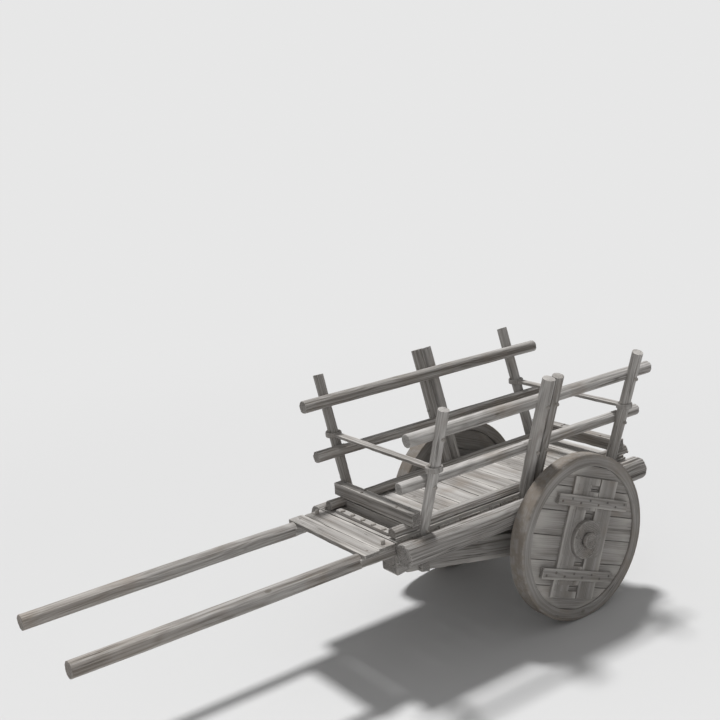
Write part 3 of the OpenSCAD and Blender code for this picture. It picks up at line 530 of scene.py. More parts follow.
poleLooks = {    # slot, depth of the ridges, bend
    "rail_upper": ("pole_wood", 0.0015, 0.0025),
    "rail_lower": ("pole_wood", 0.0018, 0.0025),
    "sill_pole": ("pole_wood", 0.0024, 0.0012),
    "side_log": ("log_wood", 0.0012, 0.0008),
}
poleShape = {"roundish": True, "step": 0.013, "fluteLength": 0.5, "lump": 0.0012, "lumpSize": 0.06,
             "tilt": (0.05, -0.04), "cutRough": 0.0012}
slimPole = {"perSide": 20, "fluteWidth": 0.01, "edge": 0.003, "rearFlute": 1.3}
thickLog = {"perSide": 30, "fluteWidth": 0.013, "edge": 0.008, "rearFlute": 3.0}
hewnLook = {"from": -0.8, "to": -0.185, "depth": 0.0085, "ripple": 0.0016}
axeLook = {"angle": radians(38), "depth": 0.008, "reach": 0.1, "rough": 0.002, "hollow": 0.5}


def makePoles():
    for kind, (slot, flute, bend) in poleLooks.items():
        thick = kind == "side_log"
        for number, side in enumerate(sides):
            name = f"{kind}_{side}"
            lo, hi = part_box(name)
            radius = (hi.y - lo.y) / 2
            seed = 11 * (number + 1) + len(kind) + len(slot) * 3
            part = alongX(lo.x, hi.x, (lo.y + hi.y) / 2, hi.z - radius, 2 * radius, 2 * radius, radius, seed,
                          flute=flute, bend=bend, **poleShape, **(thickLog if thick else slimPole))
            world = part[0]
            x, z = world[:, 0], world[:, 2]
            if kind == "rail_lower":    # hewn flat along the top, between the front stake and the pair
                flat = hi.z - hewnLook["depth"] + hewnLook["ripple"] * softNoise(world * (3, 90, 0), seed + 40)
                world[:, 2] = np.where((x > hewnLook["from"]) & (x < hewnLook["to"]), np.minimum(z, flat), z)
            if thick:                   # axe cut across the top of the rear end
                # less painted groove shade on the side logs
                part[2]["hollow"] *= axeLook["hollow"]
                angle = axeLook["angle"]
                cut = hi.z + ((x - lo.x) * sin(angle) - axeLook["depth"]) / cos(angle)
                cut += axeLook["rough"] * softNoise(world * 60, seed)
                world[:, 2] = np.where(x < lo.x + axeLook["reach"], np.minimum(z, cut), z)
            addLofts(name, [part], slot)


makePoles()
print("poles ready")


# leaning stakes

stakes = ("stake_front", "stake_mid_front", "stake_mid_rear", "stake_rear")
stakeLook = {"up": (1, 0, 0), "perSide": 20, "roundish": True, "step": 0.013, "flute": 0.0012, "fluteWidth": 0.0075,
             "lump": 0.0013, "lumpSize": 0.06, "bend": 0.0015, "edge": 0.0015, "tilt": (0.0, 0.05), "dish": 0.0012}
# painted highlight: the stakes' cut tops get less end-grain darkening and the pale rubbed colour over the whole face,
# as if lit from above; the stakes also get less painted groove shade
stakeTopLight = {"from": 0.03, "endGrain": 0.25, "wearAndTopLight": 0.8, "hollow": 0.4}


def stakeLine(name):
    # a stake's radius and the middle of its top, on the left side
    lo, hi = outBox(name)
    radius = (hi.x - lo.x) / 2
    return radius, Vector(((lo.x + hi.x) / 2, hi.y - radius * cos(lean), hi.z - radius * sin(lean)))


def stakeAt(name, z):
    radius, top = stakeLine(name)
    return Vector((top.x, top.y + (z - top.z) * tan(lean), z)), radius


def makeStakes():
    for row, kind in enumerate(stakes):
        for side, sign in sides.items():
            name = f"{kind}_{side}"
            radius, top = stakeLine(name)
            drop = top.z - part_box(name)[0].z - radius * sin(lean)
            foot = top - Vector((0, drop * tan(lean), drop))
            part = loft(foot, top, 2 * radius, 2 * radius, radius, 31 + row * 7 + (sign > 0), mirror=sign, **stakeLook)
            world, marks = part[0], part[2]
            # painted highlight: the cut top face is lightened as if lit from above
            above = world[:, 2] > top.z - stakeTopLight["from"]
            marks["hollow"] *= stakeTopLight["hollow"]
            marks["endGrain"] = np.where(above, stakeTopLight["endGrain"] * marks["endGrain"], marks["endGrain"])
            marks["wearAndTopLight"] = np.where(above & (marks["endGrain"] > 0.1), stakeTopLight["wearAndTopLight"], marks["wearAndTopLight"])
            addLofts(name, [part], "pole_wood")


makeStakes()
print("stakes ready")


# shafts: round ahead of the footboard, squared behind it

shaftLook = {"squareHeight": 0.044, "stringerWidth": 0.056, "roundAhead": 0.001, "squareAhead": 0.016, "corner": 0.005,
             "grip": 0.6, "gripFade": 0.25}
shaftParts = {
    "all": {"flute": 0.0018, "fluteWidth": 0.011},
    "round": {"perSide": 22, "roundish": True, "bend": 0.002, "edge": 0.0025, "tilt": (0, 0.05), "lump": 0.0008,
              "dish": 0.0025},
    "square": {"perSide": 12, "edge": 0.004},
    "stringer": {"perSide": 9, "edge": 0.004, "step": 0.02},
}


def makeShafts():
    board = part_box("footboard_front")
    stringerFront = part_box("footboard_rear")[0].x
    height, corner = shaftLook["squareHeight"], shaftLook["corner"]
    level = board[0].z - height / 2
    for number, (side, sign) in enumerate(sides.items()):
        name = f"shaft_{side}"
        lo, hi = outBox(name)
        radius = (hi.z - lo.z) / 2
        middle, wide = (lo.y + hi.y) / 2, shaftLook["stringerWidth"]
        common = {"mirror": sign, **shaftParts["all"]}
        front = alongX(board[1].x + shaftLook["roundAhead"], hi.x, middle, lo.z + radius,
                       2 * radius, 2 * radius, radius, 71 + number, **common, **shaftParts["round"])
        front[2]["handled"] = np.clip((front[0][:, 0] - hi.x + shaftLook["grip"]) / shaftLook["gripFade"], 0, 1)
        square = alongX(stringerFront, board[1].x + shaftLook["squareAhead"], middle, level, 2 * radius, height, corner,
                        73 + number, **common, **shaftParts["square"])
        stringer = alongX(lo.x, stringerFront, lo.y + wide / 2, level, wide, height, corner, 75 + number,
                          **common, **shaftParts["stringer"])
        addLofts(name, [front, square, stringer], "pole_wood")


makeShafts()
print("shafts ready")


# squared timbers and boards that lie straight across or along the cart

timberLooks = {    # slot, corner, depth and width of the ridges, points per side
    "footboard_front": ("plank_wood", 0.003, 0.0008, 0.013, 16),
    "footboard_rear": ("plank_wood", 0.003, 0.0008, 0.013, 16),
    "ledger_strip": ("plank_wood", 0.003, 0.0006, 0.008, 9),
    "threshold_board": ("plank_wood", 0.003, 0.0011, 0.01, 10),
    "end_block_front": ("beam_wood", 0.0032, 0.002, 0.01, 16),
    "end_block_rear": ("beam_wood", 0.0032, 0.002, 0.01, 16),
    "side_lath_left": ("plank_wood", 0.002, 0.0006, 0.007, 6),
    "side_lath_right": ("plank_wood", 0.002, 0.0006, 0.007, 6),
}
timberShape = {"step": 0.012, "edge": 0.0035, "tilt": (0.012, -0.01), "lump": 0.0005}
thresholdSeam = Vector((0.002, 0, 0.007))    # a dark seam shows between it and the end block


def makeTimbers():
    for number, (name, (slot, corner, flute, fluteWidth, perSide)) in enumerate(timberLooks.items()):
        lo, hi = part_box(name)
        if name == "threshold_board":
            hi = hi - thresholdSeam
        middle, size, rest = (lo + hi) / 2, hi - lo, (corner, 90 + 3 * number)
        look = {"flute": flute, "fluteWidth": fluteWidth, "perSide": perSide, **timberShape}
        if size.y > size.x:
            part = acrossY(lo.y, hi.y, middle.x, middle.z, size.x, size.z, *rest, **look)
        else:
            part = alongX(lo.x, hi.x, middle.y, middle.z, size.y, size.z, *rest, **look)
        addLofts(name, [part], slot)


makeTimbers()
print("boards and end blocks ready")


# under the deck: blocks, sloping bearers, their tie, the bolster and the axle

runningLook = {"slope": radians(10.8), "bearerLift": 0.004, "bearerDepth": 0.128, "bearerRear": 0.15,
               "bearerFront": 1.032, "tie": 0.057, "blockRise": tan(radians(9.0)), "armRadius": 0.0334,
               "corner": 0.006, "tieCorner": 0.005, "seatDepth": 0.005, "upperGap": 0.001, "naveGap": 0.0012,
               "armRoot": 0.02, "armTenon": 0.004}
runningShapes = {
    "block": {"perSide": 16, "step": 0.009, "flute": 0.0013, "edge": 0.005, "lump": 0.0012},
    "bearer": {"perSide": 14, "flute": 0.0018, "fluteWidth": 0.014, "edge": 0.005},
    "bolster": {"perSide": 14, "flute": 0.0016, "edge": 0.006},
    "axle": {"perSide": 14, "flute": 0.0014, "edge": 0.006, "cutRough": 0.0002},
    "arm": {"perSide": 12, "roundish": True, "flute": 0.0002, "lump": 0.0001, "edge": 0.002},
}


def makeBlocksAndBearers():
    look, corner, slope = runningLook, runningLook["corner"], runningLook["slope"]
    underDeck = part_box("axle_bolster")[1].z
    for number, (side, sign) in enumerate(sides.items()):
        lo, hi = outBox(f"front_block_{side}")
        length, wide, height = hi.x - lo.x, hi.y - lo.y, hi.z - lo.z

        def blockShape(x):
            cut = (length - x) * look["blockRise"]
            return wide, height - cut, corner, 0.0, cut / 2

        block = alongX(lo.x, hi.x, (lo.y + hi.y) / 2, (lo.z + hi.z) / 2, wide, height, corner, 130 + number,
                       change=blockShape, mirror=sign, **runningShapes["block"])
        addLofts(f"front_block_{side}", [block], "beam_wood")
        lo, hi = outBox(f"bearer_{side}")
        down = look["bearerLift"] - look["bearerDepth"] / 2
        ends = [Vector((axleX + u * cos(slope) - down * sin(slope), (lo.y + hi.y) / 2,
                        axleZ + u * sin(slope) + down * cos(slope)))
                for u in (-look["bearerRear"], look["bearerFront"])]
        bearer = loft(*ends, hi.y - lo.y, look["bearerDepth"], corner, 140 + number, mirror=sign,
                      **runningShapes["bearer"])
        np.minimum(bearer[0], (hi.x, np.inf, underDeck), out=bearer[0])
        addLofts(f"bearer_{side}", [bearer], "beam_wood")


def makeCrossTimbers():
    look, corner, slope = runningLook, runningLook["corner"], runningLook["slope"]
    lo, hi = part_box("bearer_tie")
    middle = (lo + hi) / 2
    tie = acrossY(lo.y, hi.y, middle.x, middle.z, look["tie"], look["tie"], look["tieCorner"], 150,
                  up=(-sin(slope), 0, cos(slope)), flute=0.0012, edge=0.005)
    addLofts("bearer_tie", [tie], "beam_wood")
    lo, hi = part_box("axle_bolster")
    x, wide, sunk = (lo.x + hi.x) / 2, hi.x - lo.x, look["seatDepth"]
    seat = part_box("side_log_left")[0].z + sunk
    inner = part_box("bearer_left")[1].y - sunk
    lower = acrossY(lo.y, hi.y, x, (lo.z + seat) / 2, wide, seat - lo.z, corner, 152, lump=0.001,
                    **runningShapes["bolster"])
    upper = acrossY(-inner, inner, x, (seat + hi.z) / 2 - sunk, wide - look["upperGap"], hi.z - seat + 2 * sunk,
                    corner, 153, **runningShapes["bolster"])
    addLofts("axle_bolster", [lower, upper], "beam_wood")
    beam = 2 * (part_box("axle")[1].x - axleX)
    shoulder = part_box("wheel_left_nave")[0].y - look["naveGap"]
    capInner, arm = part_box("axle_cap_left")[0].y, look["armRadius"]
    parts = [acrossY(-shoulder, shoulder, axleX, axleZ, beam, beam, corner, 155, **runningShapes["axle"])]
    for sign in sides.values():
        parts.append(acrossY(shoulder - look["armRoot"], capInner + look["armTenon"], axleX, axleZ,
                             2 * arm, 2 * arm, arm, 157, mirror=sign, **runningShapes["arm"]))
    addLofts("axle", parts, "beam_wood")


makeBlocksAndBearers()
makeCrossTimbers()
print("running timbers ready")


# turned and round pieces

def roundedPath(corners, radius, spacing, closed=True):
    # a profile with eased corners and points no further apart than spacing
    corners = np.array(corners, float)
    path = []
    for i, corner in enumerate(corners):
        if not closed and i in (0, len(corners) - 1):
            path.append(corner)
            continue
        ways = [corners[k % len(corners)] - corner for k in (i - 1, i + 1)]
        r = min(radius, *(0.45 * np.linalg.norm(way) for way in ways))
        a, b = (corner + way / np.linalg.norm(way) * r for way in ways)
        path += [(1 - t) ** 2 * a + 2 * t * (1 - t) * corner + t * t * b for t in np.linspace(0, 1, 5)]
    dense = []
    for a, b in zip(path, path[1:] + path[:1] if closed else path[1:]):
        pieces = max(1, ceil(np.linalg.norm(b - a) / spacing))
        dense += [a + (b - a) * k / pieces for k in range(pieces)]
    return np.array(dense if closed else dense + [path[-1]])


def revolve(profile, middle, seed, segments, closed=True, arcGrain=False, flute=0.0004, fluteWidth=0.008, wornAt=(),
            turn=0.0, mirror=1, axis="y"):
    # profile: (radius, along the axis) points; outwards is to its right
    around = np.linspace(0, 2 * pi, segments + 1)[: None if arcGrain else -1]
    count, rows = len(profile), len(around)
    angle = np.repeat(around, count) + turn
    c, s = np.cos(angle), np.sin(angle)
    radius, along = np.tile(profile[:, 0], rows), np.tile(profile[:, 1], rows)
    tangent = np.roll(profile, -1, 0) - np.roll(profile, 1, 0)
    if not closed:
        tangent[0], tangent[-1] = profile[1] - profile[0], profile[-1] - profile[-2]
    tangent /= np.linalg.norm(tangent, axis=1, keepdims=True) + 1e-9
    relief = flute * softNoise(np.column_stack([radius / fluteWidth + 0.7 * c, along / fluteWidth, 1.5 * s]), seed)
    relief += flute * softNoise(np.column_stack([7 * radius * c, 7 * radius * s, 9 * along]), seed + 5)
    relief *= radius > 0.001
    r, y = radius + np.tile(tangent[:, 1], rows) * relief, along + np.tile(-tangent[:, 0], rows) * relief
    a, b = middle[0] + r * c, middle[1] + r * s
    world = np.column_stack([a, mirror * y, b] if axis == "y" else [a, mirror * b, y])
    quads = []
    for row in range(rows - 1 if arcGrain else rows):
        here, there = row * count, (row + 1) % rows * count
        for k in range(count if closed else count - 1):
            after = (k + 1) % count
            quad = (here + k, here + after, there + after, there + k)
            quads.append(quad[::-1] if axis == "y" else quad)
    rnd = np.random.default_rng(seed)
    if arcGrain:
        grain = np.column_stack([angle * np.max(radius) + 9 * seed, radius, along + 0.3])
    else:
        shift = rnd.uniform(-0.012, 0.012, 2)
        grain = np.column_stack([along + rnd.uniform(0, 40), radius * c + shift[0], radius * s + shift[1]])
    wear = np.zeros(count)
    for spot in wornAt:
        wear = np.maximum(wear, np.clip(1 - np.linalg.norm(profile - spot, axis=1) / 0.006, 0, 1))
    none = np.zeros(len(world))
    return world, quads, {
        "grainPlace": grain, "wearAndTopLight": np.tile(wear, rows), "handled": none,
        "endGrain": none if arcGrain else np.tile(np.abs(tangent[:, 0]) > 0.7, rows) * 1.0,
        # painted shade: the grooves of the turned relief get a darkening mark, the ridges a lightening one
        "hollow": -relief / max(2 * flute, 1e-6),
        "soil": np.clip((radius - np.max(radius) + 0.022) / 0.02, 0, 1) * arcGrain,
        "tone": none + (0.72 if arcGrain else rnd.uniform(0.45, 0.7))}, mirror < 0


wheelLook = {
    "turn": radians(21), "rimSegments": 168, "naveSegments": 72, "capSegments": 48,
    "plankPitch": 0.132, "plankGap": 0.0032, "plankCorner": 0.0025,
    "boardReach": 0.324, "boardHalf": 0.166, "boardJoint": 0.033, "jointWidth": 0.0034, "slitWidth": 0.009,
    "windowHalf": 0.037, "windowNear": 0.15, "windowFar": 0.286, "windowHeight": 0.034, "boardCorner": 0.0022,
    "battenAt": 0.197, "battenHeight": 0.058, "battenHalf": 0.272, "battenCorner": 0.0032,
    "nails": 8, "firstNail": -0.244, "nailStep": 0.06971, "nailStagger": 0.009,
    "naveRadius": 0.1045, "naveCore": 0.062, "bore": 0.0341, "naveEase": 0.01, "naveDish": 0.003, "hubReach": 0.1,
    "rimGap": 0.0003, "plankGapAtRim": 0.0006, "plankTip": 0.004, "coreGap": 0.0012, "naveGap": 0.001,
    "boardSunk": 0.001, "rimEase": 0.006, "capEase": 0.007, "capDish": 0.002, "rimGrainFrom": 2.2,
}
wheelShapes = {
    "all": {"up": (0, 1, 0), "flute": 0.0008, "fluteWidth": 0.01, "tones": (0.4, 0.62)},
    "plank": {"step": 0.0045, "perSide": 34, "spread": "middle", "fluteLength": 0.35, "lump": 0.0004, "edge": 0.0025,
              "cutRough": 0.0, "grainTurn": True},
    "board": {"step": 0.01, "perSide": 13, "lump": 0.0005, "edge": 0.003},
    "batten": {"perSide": 12, "step": 0.011, "flute": 0.001, "fluteWidth": 0.009, "edge": 0.0035, "lump": 0.0006,
               "tilt": (0.02, -0.02)},
}


def wheelPlace(x, z, y):
    # a point from the wheel's own directions, x along the planks, into the cart's
    turn = wheelLook["turn"]
    return Vector((axleX + x * cos(turn) - z * sin(turn), y, axleZ + x * sin(turn) + z * cos(turn)))


def openHub(world):
    # planks stand clear of the nave's core
    reach, clear = wheelLook["hubReach"], wheelLook["naveCore"] + wheelLook["coreGap"]
    away = world[:, [0, 2]] - (axleX, axleZ)
    distance = np.maximum(np.linalg.norm(away, axis=1), 1e-6)
    wanted = clear + distance * (reach - clear) / reach
    world[:, [0, 2]] += away * np.where(distance < reach, wanted / distance - 1, 0)[:, None]


def makePlanks(name, radius, sign, **common):
    lo, hi = outBox(name)
    look, thick = wheelLook, hi.y - lo.y
    parts = []
    for k in range(-3, 3):
        low = look["plankTip"] - radius if k == -3 else k * look["plankPitch"] + look["plankGap"] / 2
        high = radius - look["plankTip"] if k == 2 else (k + 1) * look["plankPitch"] - look["plankGap"] / 2

        def plankShape(x):
            z = min(abs(low + x), radius * 0.9999)
            return 2 * sqrt(radius * radius - z * z), thick, look["plankCorner"], 0.0, 0.0

        ends = [wheelPlace(0, z, (lo.y + hi.y) / 2) for z in (low, high)]
        plank = loft(*ends, 0.5, thick, look["plankCorner"], 170 + 5 * k + sign, change=plankShape, **common)
        openHub(plank[0])
        parts.append(plank)
    return parts


def makeBoards(name, sign, **common):
    lo, hi = outBox(name)
    look, reach, thick = wheelLook, wheelLook["boardReach"], hi.y - lo.y
    near, far, window = look["windowNear"], look["windowFar"], look["windowHalf"]
    low, nave = far - look["windowHeight"], look["naveRadius"] + look["naveGap"]
    bends = (near, low, far, 0.35 * nave, 0.7 * nave, 0.9 * nave, 0.985 * nave)
    parts = []
    for which in (-1, 1):

        def boardShape(x):
            z = abs(x - reach)    # sideways is counted to the rear
            edge = look["boardJoint"] + which * look["slitWidth" if z > far else "jointWidth"] / 2
            if low < z <= far or z < near:
                edge = which * window
            if z < nave:
                edge = which * max(sqrt(nave * nave - z * z), window)
            outside, sunk = which * look["boardHalf"], look["boardSunk"]
            return abs(outside - edge), thick + 2 * sunk, look["boardCorner"], -(edge + outside) / 2, -sunk

        ends = [wheelPlace(0, z, (lo.y + hi.y) / 2) for z in (-reach, reach)]
        parts.append(loft(*ends, 0.13, thick, look["boardCorner"], 200 + which + sign, change=boardShape,
                          cuts=[reach + s * z for s in (-1, 1) for z in bends], **common))
    return parts


def makeWheel(side, sign):
    look, body, middle = wheelLook, f"wheel_{side}", (axleX, axleZ)
    common = {"mirror": sign, **wheelShapes["all"]}
    lo, hi = outBox(f"{body}_rim")
    outer = (hi.x - lo.x) / 2
    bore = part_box("wheel_left_planks")[1].x - axleX + look["rimGap"]
    profile = roundedPath([(bore, lo.y), (outer, lo.y), (outer, hi.y), (bore, hi.y)], look["rimEase"], 0.0075)
    rim = revolve(profile, middle, 3 + sign, look["rimSegments"], arcGrain=True, flute=0.0006, fluteWidth=0.009,
                  wornAt=((outer, lo.y), (outer, hi.y)), turn=look["rimGrainFrom"], mirror=sign)
    battenLo, battenHi = outBox(f"{body}_battens")
    y, thick, half = (battenLo.y + battenHi.y) / 2, battenHi.y - battenLo.y, look["battenHalf"]
    battens = [loft(wheelPlace(-half, place * look["battenAt"], y), wheelPlace(half, place * look["battenAt"], y),
                    look["battenHeight"], thick, look["battenCorner"], 220 + place + sign,
                    **{**common, **wheelShapes["batten"]}) for place in (-1, 1)]
    planks = makePlanks(f"{body}_planks", bore - look["plankGapAtRim"], sign, **common, **wheelShapes["plank"])
    boards = makeBoards(f"{body}_boards", sign, **common, **wheelShapes["board"])
    for part, lofts in (("rim", [rim]), ("planks", planks), ("boards", boards), ("battens", battens)):
        addLofts(f"{body}_{part}", lofts, "wheel_wood", body)

    lo, hi = outBox(f"{body}_nave")
    face, core, bore = outBox(f"{body}_planks")[1].y, look["naveCore"], look["bore"]
    r, dished = look["naveRadius"], hi.y - look["naveDish"]
    profile = roundedPath([(bore, lo.y), (core, lo.y), (core, face), (r, face), (r, hi.y), (bore, dished)],
                          look["naveEase"], 0.009)
    nave = revolve(profile, middle, 11 + sign, look["naveSegments"], flute=0.0003, mirror=sign,
                   wornAt=((r - 0.002, hi.y - 0.002),))
    world = nave[0]
    tooClose = np.hypot(world[:, 0] - axleX, world[:, 2] - axleZ) < bore
    away = world[tooClose][:, [0, 2]] - middle
    world[np.ix_(tooClose, [0, 2])] = middle + away * bore / np.linalg.norm(away, axis=1, keepdims=True)
    world[:, 1] = sign * np.clip(sign * world[:, 1], lo.y, hi.y)
    addLofts(f"{body}_nave", [nave], "wheel_wood", body)

    lo, hi = outBox(f"axle_cap_{side}")
    r = (hi.x - lo.x) / 2
    profile = roundedPath([(0, lo.y), (r, lo.y), (r, hi.y), (0, hi.y - look["capDish"])], look["capEase"], 0.006, False)
    cap = revolve(profile, middle, 17 + sign, look["capSegments"], closed=False, mirror=sign,
                  wornAt=((r - 0.001, hi.y - 0.001),))
    cap[0][:, 1] = sign * np.maximum(np.abs(cap[0][:, 1]), lo.y)
    addLofts(f"axle_cap_{side}", [cap], "beam_wood")


for side, sign in sides.items():
    makeWheel(side, sign)
print("wheels ready")


# tie bars: a flat bar between the leaning stakes with an eye round each

tieLook = {"width": 0.042, "thickness": 0.017, "corner": 0.0035, "eyeRadius": 0.044, "eyeGap": 0.0005, "eyeEase": 0.008}


def makeTieBars():
    outer = tieLook["eyeRadius"]
    for number, end in enumerate(("front", "rear")):
        lo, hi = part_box(f"tie_bar_{end}")
        stakeLo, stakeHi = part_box(f"stake_{end}_left")
        x, inside = (stakeLo.x + stakeHi.x) / 2, (stakeHi.x - stakeLo.x) / 2
        reach, hole = hi.y - outer, inside + tieLook["eyeGap"]
        parts = [acrossY(inside - reach, reach - inside, x, (lo.z + hi.z) / 2, tieLook["width"], tieLook["thickness"],
                         tieLook["corner"], 240 + number, step=0.012, perSide=9, flute=0.0008, fluteWidth=0.009,
                         edge=0.002, lump=0.0008)]
        profile = roundedPath([(hole, lo.z), (outer, lo.z), (outer, hi.z), (hole, hi.z)], tieLook["eyeEase"], 0.008)
        for sign in sides.values():
            parts.append(revolve(profile, (x, reach), 250 + number, 44, mirror=sign, axis="z", wornAt=((outer, hi.z),)))
        addLofts(f"tie_bar_{end}", parts, "plank_wood")


makeTieBars()
print("tie bars ready")


# pegs, pins and nails, set out by one node tree

pegSizes = ("Head Radius", "Head Height", "Flatness", "Shank Radius", "Shank Length", "Roughness")
pegLooks = {
    "stakePeg": (0.0115, 0.013, 1.15, 0.0062, 0.085, 0.0009),
    "ledgerPeg": (0.0138, 0.0078, 1.8, 0.0065, 0.026, 0.0009),
    "footPeg": (0.0108, 0.003, 1.8, 0.0107, 0.064, 0.001),
    "sillPin": (0.0069, 0.003, 1.8, 0.0068, 0.08, 0.0007),
    "crossPin": (0.0069, 0.003, 1.8, 0.0068, 0.052, 0.0007),
    "slimPin": (0.0058, 0.003, 1.8, 0.0057, 0.06, 0.0006),
    "endNail": (0.008, 0.0036, 1.8, 0.003, 0.03, 0.0008),
    "footNail": (0.008, 0.0012, 1.8, 0.003, 0.03, 0.0004),
    "wheelNail": (0.0068, 0.0034, 1.8, 0.0025, 0.014, 0.0006),
}
pegPlan = {"stand": 0.003, "ledgerEdge": 0.0141, "footEdge": 0.011, "footNailEdge": 0.009, "sillEdge": 0.0075,
           "crossOut": 0.034, "tieStand": 0.009, "railEdge": 0.006, "facing": (0.75, 0.95), "sizes": (0.9, 1.04),
           "roughScale": 170.0}
endNails = {0.013: (-0.284, -0.106, 0.262), 0.043: (-0.096, 0.2)}    # from the block's rear, and across the cart


def geometryTree(name, inputs):
    return newTree("GeometryNodeTree", name, {"Geometry": "Geometry", **inputs, "Seed": "Int", "Finish": "Material"},
                   {"Geometry": "Geometry"})


def finishTree(w, given, out, instances, shift, roughness=None):
    # a tone for each instance, made real, roughened where asked, with its material
    seed = w.math("ADD", given["Seed"], shift)
    tone = w.node("FunctionNodeRandomValue", {"Seed": seed}, data_type="FLOAT").outputs[1]
    made = w.geo("RealizeInstances", {0: w.store(instances, "tone", tone, domain="INSTANCE")})
    if roughness:
        rough = w.node("TexNoise", {"Scale": pegPlan["roughScale"]}).outputs["Color"]
        offset = w.scaled(w.vector("SUBTRACT", rough, (0.5, 0.5, 0.5)), w.times(roughness, 2.0))
        made = w.geo("SetPosition", {"Geometry": made, "Offset": offset})
    w.feed(out[0], w.geo("SetMaterial", {"Geometry": made, "Material": given["Finish"]}))
    return w.tree


def makeHeadedTree():
    w, given, out = geometryTree("headedPegs", dict.fromkeys(pegSizes, "Float"))
    place = w.geo("InputPosition")
    wide, thin, length = (given[label] for label in ("Head Radius", "Shank Radius", "Shank Length"))
    x, y, z = w.split(place)
    flat = w.combine(x, y, w.math("MINIMUM", w.times(z, given["Flatness"]), 1.0))    # the ball's top hammered flat
    head = w.geo("MeshUVSphere", {"Segments": 14, "Rings": 8, "Radius": 1.0})
    head = w.geo("SetPosition", {"Geometry": head, "Position": flat})
    head = w.geo("Transform", {"Geometry": head, "Scale": w.combine(wide, wide, given["Head Height"])})
    shank = w.geo("MeshCylinder", {"Vertices": 14, "Side Segments": 6, "Radius": thin, "Depth": length})
    shank = w.geo("Transform", {"Geometry": shank, "Translation": w.combine(z=w.times(length, -0.5))})
    peg = w.node("GeometryNodeJoinGeometry")
    for part in (shank, head):
        w.feed(peg.inputs[0], part)
    peg = w.store(peg.outputs[0], "grainPlace", w.combine(z, x, y), "FLOAT_VECTOR")
    peg = w.store(peg, "endGrain", w.ramp(w.split(w.geo("InputNormal"))[2], *pegPlan["facing"]))
    way = w.geo("InputNamedAttribute", {"Name": "aim"}, data_type="FLOAT_VECTOR")
    least, most = pegPlan["sizes"]
    size = w.node("FunctionNodeRandomValue", {2: least, 3: most, "Seed": given["Seed"]}, data_type="FLOAT")
    placed = w.geo("InstanceOnPoints", {
        "Points": given["Geometry"], "Instance": peg, "Scale": size.outputs[1],
        "Rotation": w.node("FunctionNodeAlignRotationToVector", {"Vector": way}, axis="Z").outputs[0]})
    return finishTree(w, given, out, placed, 7.0, given["Roughness"])


def runNodes(name, places, aims, tree, values):
    # sets out a tree's pieces on points that each have an aim, as a plain mesh
    mesh = bpy.data.meshes.new(name)
    mesh.from_pydata([tuple(p) for p in places], [], [])
    spread = np.broadcast_to(np.asarray(aims, np.float32), (len(places), 3))
    mesh.attributes.new("aim", "FLOAT_VECTOR", "POINT").data.foreach_set("vector", spread.ravel())
    base = linkNew(name, mesh)
    modifier = base.modifiers.new("nodes", "NODES")
    modifier.node_group = tree
    for item in tree.interface.items_tree:
        if item.in_out == "INPUT" and item.name in values:
            modifier[item.identifier] = values[item.name]
    made = bpy.data.meshes.new_from_object(base.evaluated_get(bpy.context.evaluated_depsgraph_get()))
    base.modifiers.clear()
    bpy.data.objects.remove(base)
    return made


headedTree = makeHeadedTree()


def addPegs(name, groups, slot="peg_wood", body="cart"):
    # groups: look, places, aims and, where it isn't the look's own, the length of the shank
    meshes, whole = [], bmesh.new()
    for number, (look, places, aims, *length) in enumerate(groups):
        values = dict(zip(pegSizes, pegLooks[look]), Seed=7 * number + len(name), Finish=materials[slot])
        if length:
            values["Shank Length"] = length[0]
        meshes.append(runNodes("pegPlaces", places, aims, headedTree, values))
        whole.from_mesh(meshes[-1])
    mesh = meshes[0]
    whole.to_mesh(mesh)
    whole.free()
    smooth(mesh)
    mesh.name = name
    addPiece(name, mesh, slot, body)


def bothSides(x, y, z):
    return [(x, y, z), (x, -y, z)]


def poleMiddle(name):
    lo, hi = outBox(name)
    return (lo.y + hi.y) / 2, hi.z - (hi.y - lo.y) / 2


def makeStakePegs():
    for side, sign in sides.items():
        places = []
        for kind in stakes:
            for pole in ("sill_pole", "rail_lower", "rail_upper"):
                y, z = poleMiddle(f"{pole}_{side}")
                point, radius = stakeAt(f"{kind}_{side}", z)
                head = Vector((point.x, y, z)) + stakeOut * ((point.y - y) * cos(lean) + radius)
                places.append((head.x, head.y * sign, head.z))
        addPegs(f"stake_pegs_{side}", [("stakePeg", places, (0, stakeOut.y * sign, stakeOut.z))])


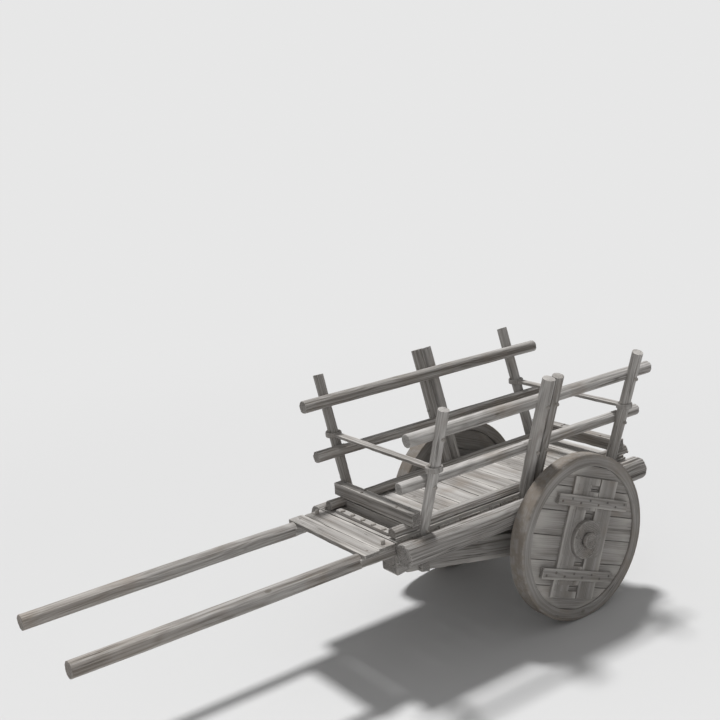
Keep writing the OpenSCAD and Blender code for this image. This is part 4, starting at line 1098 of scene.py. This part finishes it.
def makePinsAndNails():
    plan, stand, up = pegPlan, pegPlan["stand"], (0, 0, 1)
    lo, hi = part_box("ledger_pegs")
    spread = np.linspace(lo.y + plan["ledgerEdge"], hi.y - plan["ledgerEdge"], 5)
    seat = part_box("ledger_strip")[1].z
    addPegs("ledger_pegs", [("ledgerPeg", [((lo.x + hi.x) / 2, y, seat) for y in spread], up)])
    lo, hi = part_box("footboard_pegs")
    places = bothSides((lo.x + hi.x) / 2, hi.y - plan["footEdge"], hi.z - stand)
    addPegs("footboard_pegs", [("footPeg", places, [(0.02, 0, 1), (-0.03, 0.03, 1)])])
    lo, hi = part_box("footboard_nails")
    places = bothSides((lo.x + hi.x) / 2, hi.y - plan["footNailEdge"], hi.z)
    addPegs("footboard_nails", [("footNail", places, up)], "nail_iron")
    y, z = poleMiddle("sill_pole_left")
    lo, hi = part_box("sill_pins")
    edge, reach = plan["sillEdge"], plan["crossOut"]
    upright = bothSides(hi.x - edge, y, hi.z - stand)
    cross = bothSides(lo.x + edge, y + reach * stakeOut.y, z + reach * stakeOut.z)
    addPegs("sill_pins", [("sillPin", upright, up), ("crossPin", cross, bothSides(*stakeOut))])
    lo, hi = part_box("tie_bar_pins")
    groups = []
    for end in ("front", "rear"):
        point, radius = stakeAt(f"stake_{end}_left", (lo.z + hi.z) / 2)
        reach = radius + plan["tieStand"]
        places = bothSides(point.x + reach - stand, point.y, point.z)
        groups.append(("slimPin", places, (1, 0, 0), 2 * reach - stand))
    addPegs("tie_bar_pins", groups)
    lo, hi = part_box("rail_pins")
    places = bothSides(hi.x - stand, hi.y - plan["railEdge"], (lo.z + hi.z) / 2)
    addPegs("rail_pins", [("slimPin", places, (1, 0, 0))])
    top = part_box("end_block_front")[1].z
    places = [(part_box(f"end_block_{end}")[0].x + x, y, top)
              for end in ("front", "rear") for x, row in endNails.items() for y in row]
    addPegs("end_block_nails", [("endNail", places, up)], "nail_iron")


def makeWheelNails():
    look = wheelLook
    for side, sign in sides.items():
        face = outBox(f"wheel_{side}_battens")[1].y
        places = []
        for batten in (-1, 1):
            for k in range(look["nails"]):
                z = batten * look["battenAt"] + (-look["nailStagger"] if k % 2 else look["nailStagger"])
                place = wheelPlace(look["firstNail"] + k * look["nailStep"], z, face)
                places.append((place.x, place.y * sign, place.z))
        addPegs(f"wheel_{side}_nails", [("wheelNail", places, (0, sign, 0))], "nail_iron", f"wheel_{side}")


makeStakePegs()
makePinsAndNails()
makeWheelNails()
print("pegs, pins and nails ready")


# deck boards, laid side by side by a node tree from a few sawn boards

deckLook = {"boards": 12, "gap": 0.004, "kinds": 5, "slide": 0.002, "seed": 4, "corner": 0.0028}
deckShape = {"step": 0.02, "perSide": 13, "flute": 0.0008, "fluteWidth": 0.012, "tilt": (0.01, -0.01)}


def makeLayTree():
    w, given, out = geometryTree("layBoards", {"Boards": "Collection", "Slide": "Float"})
    kinds = w.geo("CollectionInfo", {"Collection": given["Boards"], "Separate Children": True, "Reset Children": True},
                  transform_space="ORIGINAL")
    laid = w.geo("InstanceOnPoints", {"Points": given["Geometry"], "Instance": kinds, "Pick Instance": True})
    shift = w.node("FunctionNodeRandomValue", {0: (0, -1, -0.5), 1: (0, 1, 0), "Seed": given["Seed"]},
                   data_type="FLOAT_VECTOR").outputs[0]
    laid = w.geo("TranslateInstances", {"Instances": laid, "Translation": w.scaled(shift, given["Slide"])})
    return finishTree(w, given, out, laid, 3.0)


def makeDeck():
    lo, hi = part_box("deck_boards")
    gap, middle = deckLook["gap"], (lo + hi) / 2
    pitch = (hi.x - lo.x + gap) / deckLook["boards"]
    kinds = bpy.data.collections.new("deckKinds")
    for k in range(deckLook["kinds"]):
        board = acrossY(lo.y - middle.y, hi.y - middle.y, 0, 0, pitch - gap, hi.z - lo.z, deckLook["corner"], 260 + k,
                        **deckShape)
        board[2].pop("tone")
        kinds.objects.link(bpy.data.objects.new(f"deckKind{k}", meshPiece(f"deckKind{k}", *joined([board]))))
    scene.collection.children.link(kinds)
    places = [(lo.x + pitch * (k + 0.5) - gap / 2, middle.y, middle.z) for k in range(deckLook["boards"])]
    mesh = runNodes("deckPlaces", places, (0, 0, 1), makeLayTree(), {
        "Boards": kinds, "Slide": deckLook["slide"], "Seed": deckLook["seed"], "Finish": materials["plank_wood"]})
    for made in list(kinds.objects):
        bpy.data.objects.remove(made)
    bpy.data.collections.remove(kinds)
    smooth(mesh)
    addPiece("deck_boards", mesh, "plank_wood")


makeDeck()
print("deck ready")
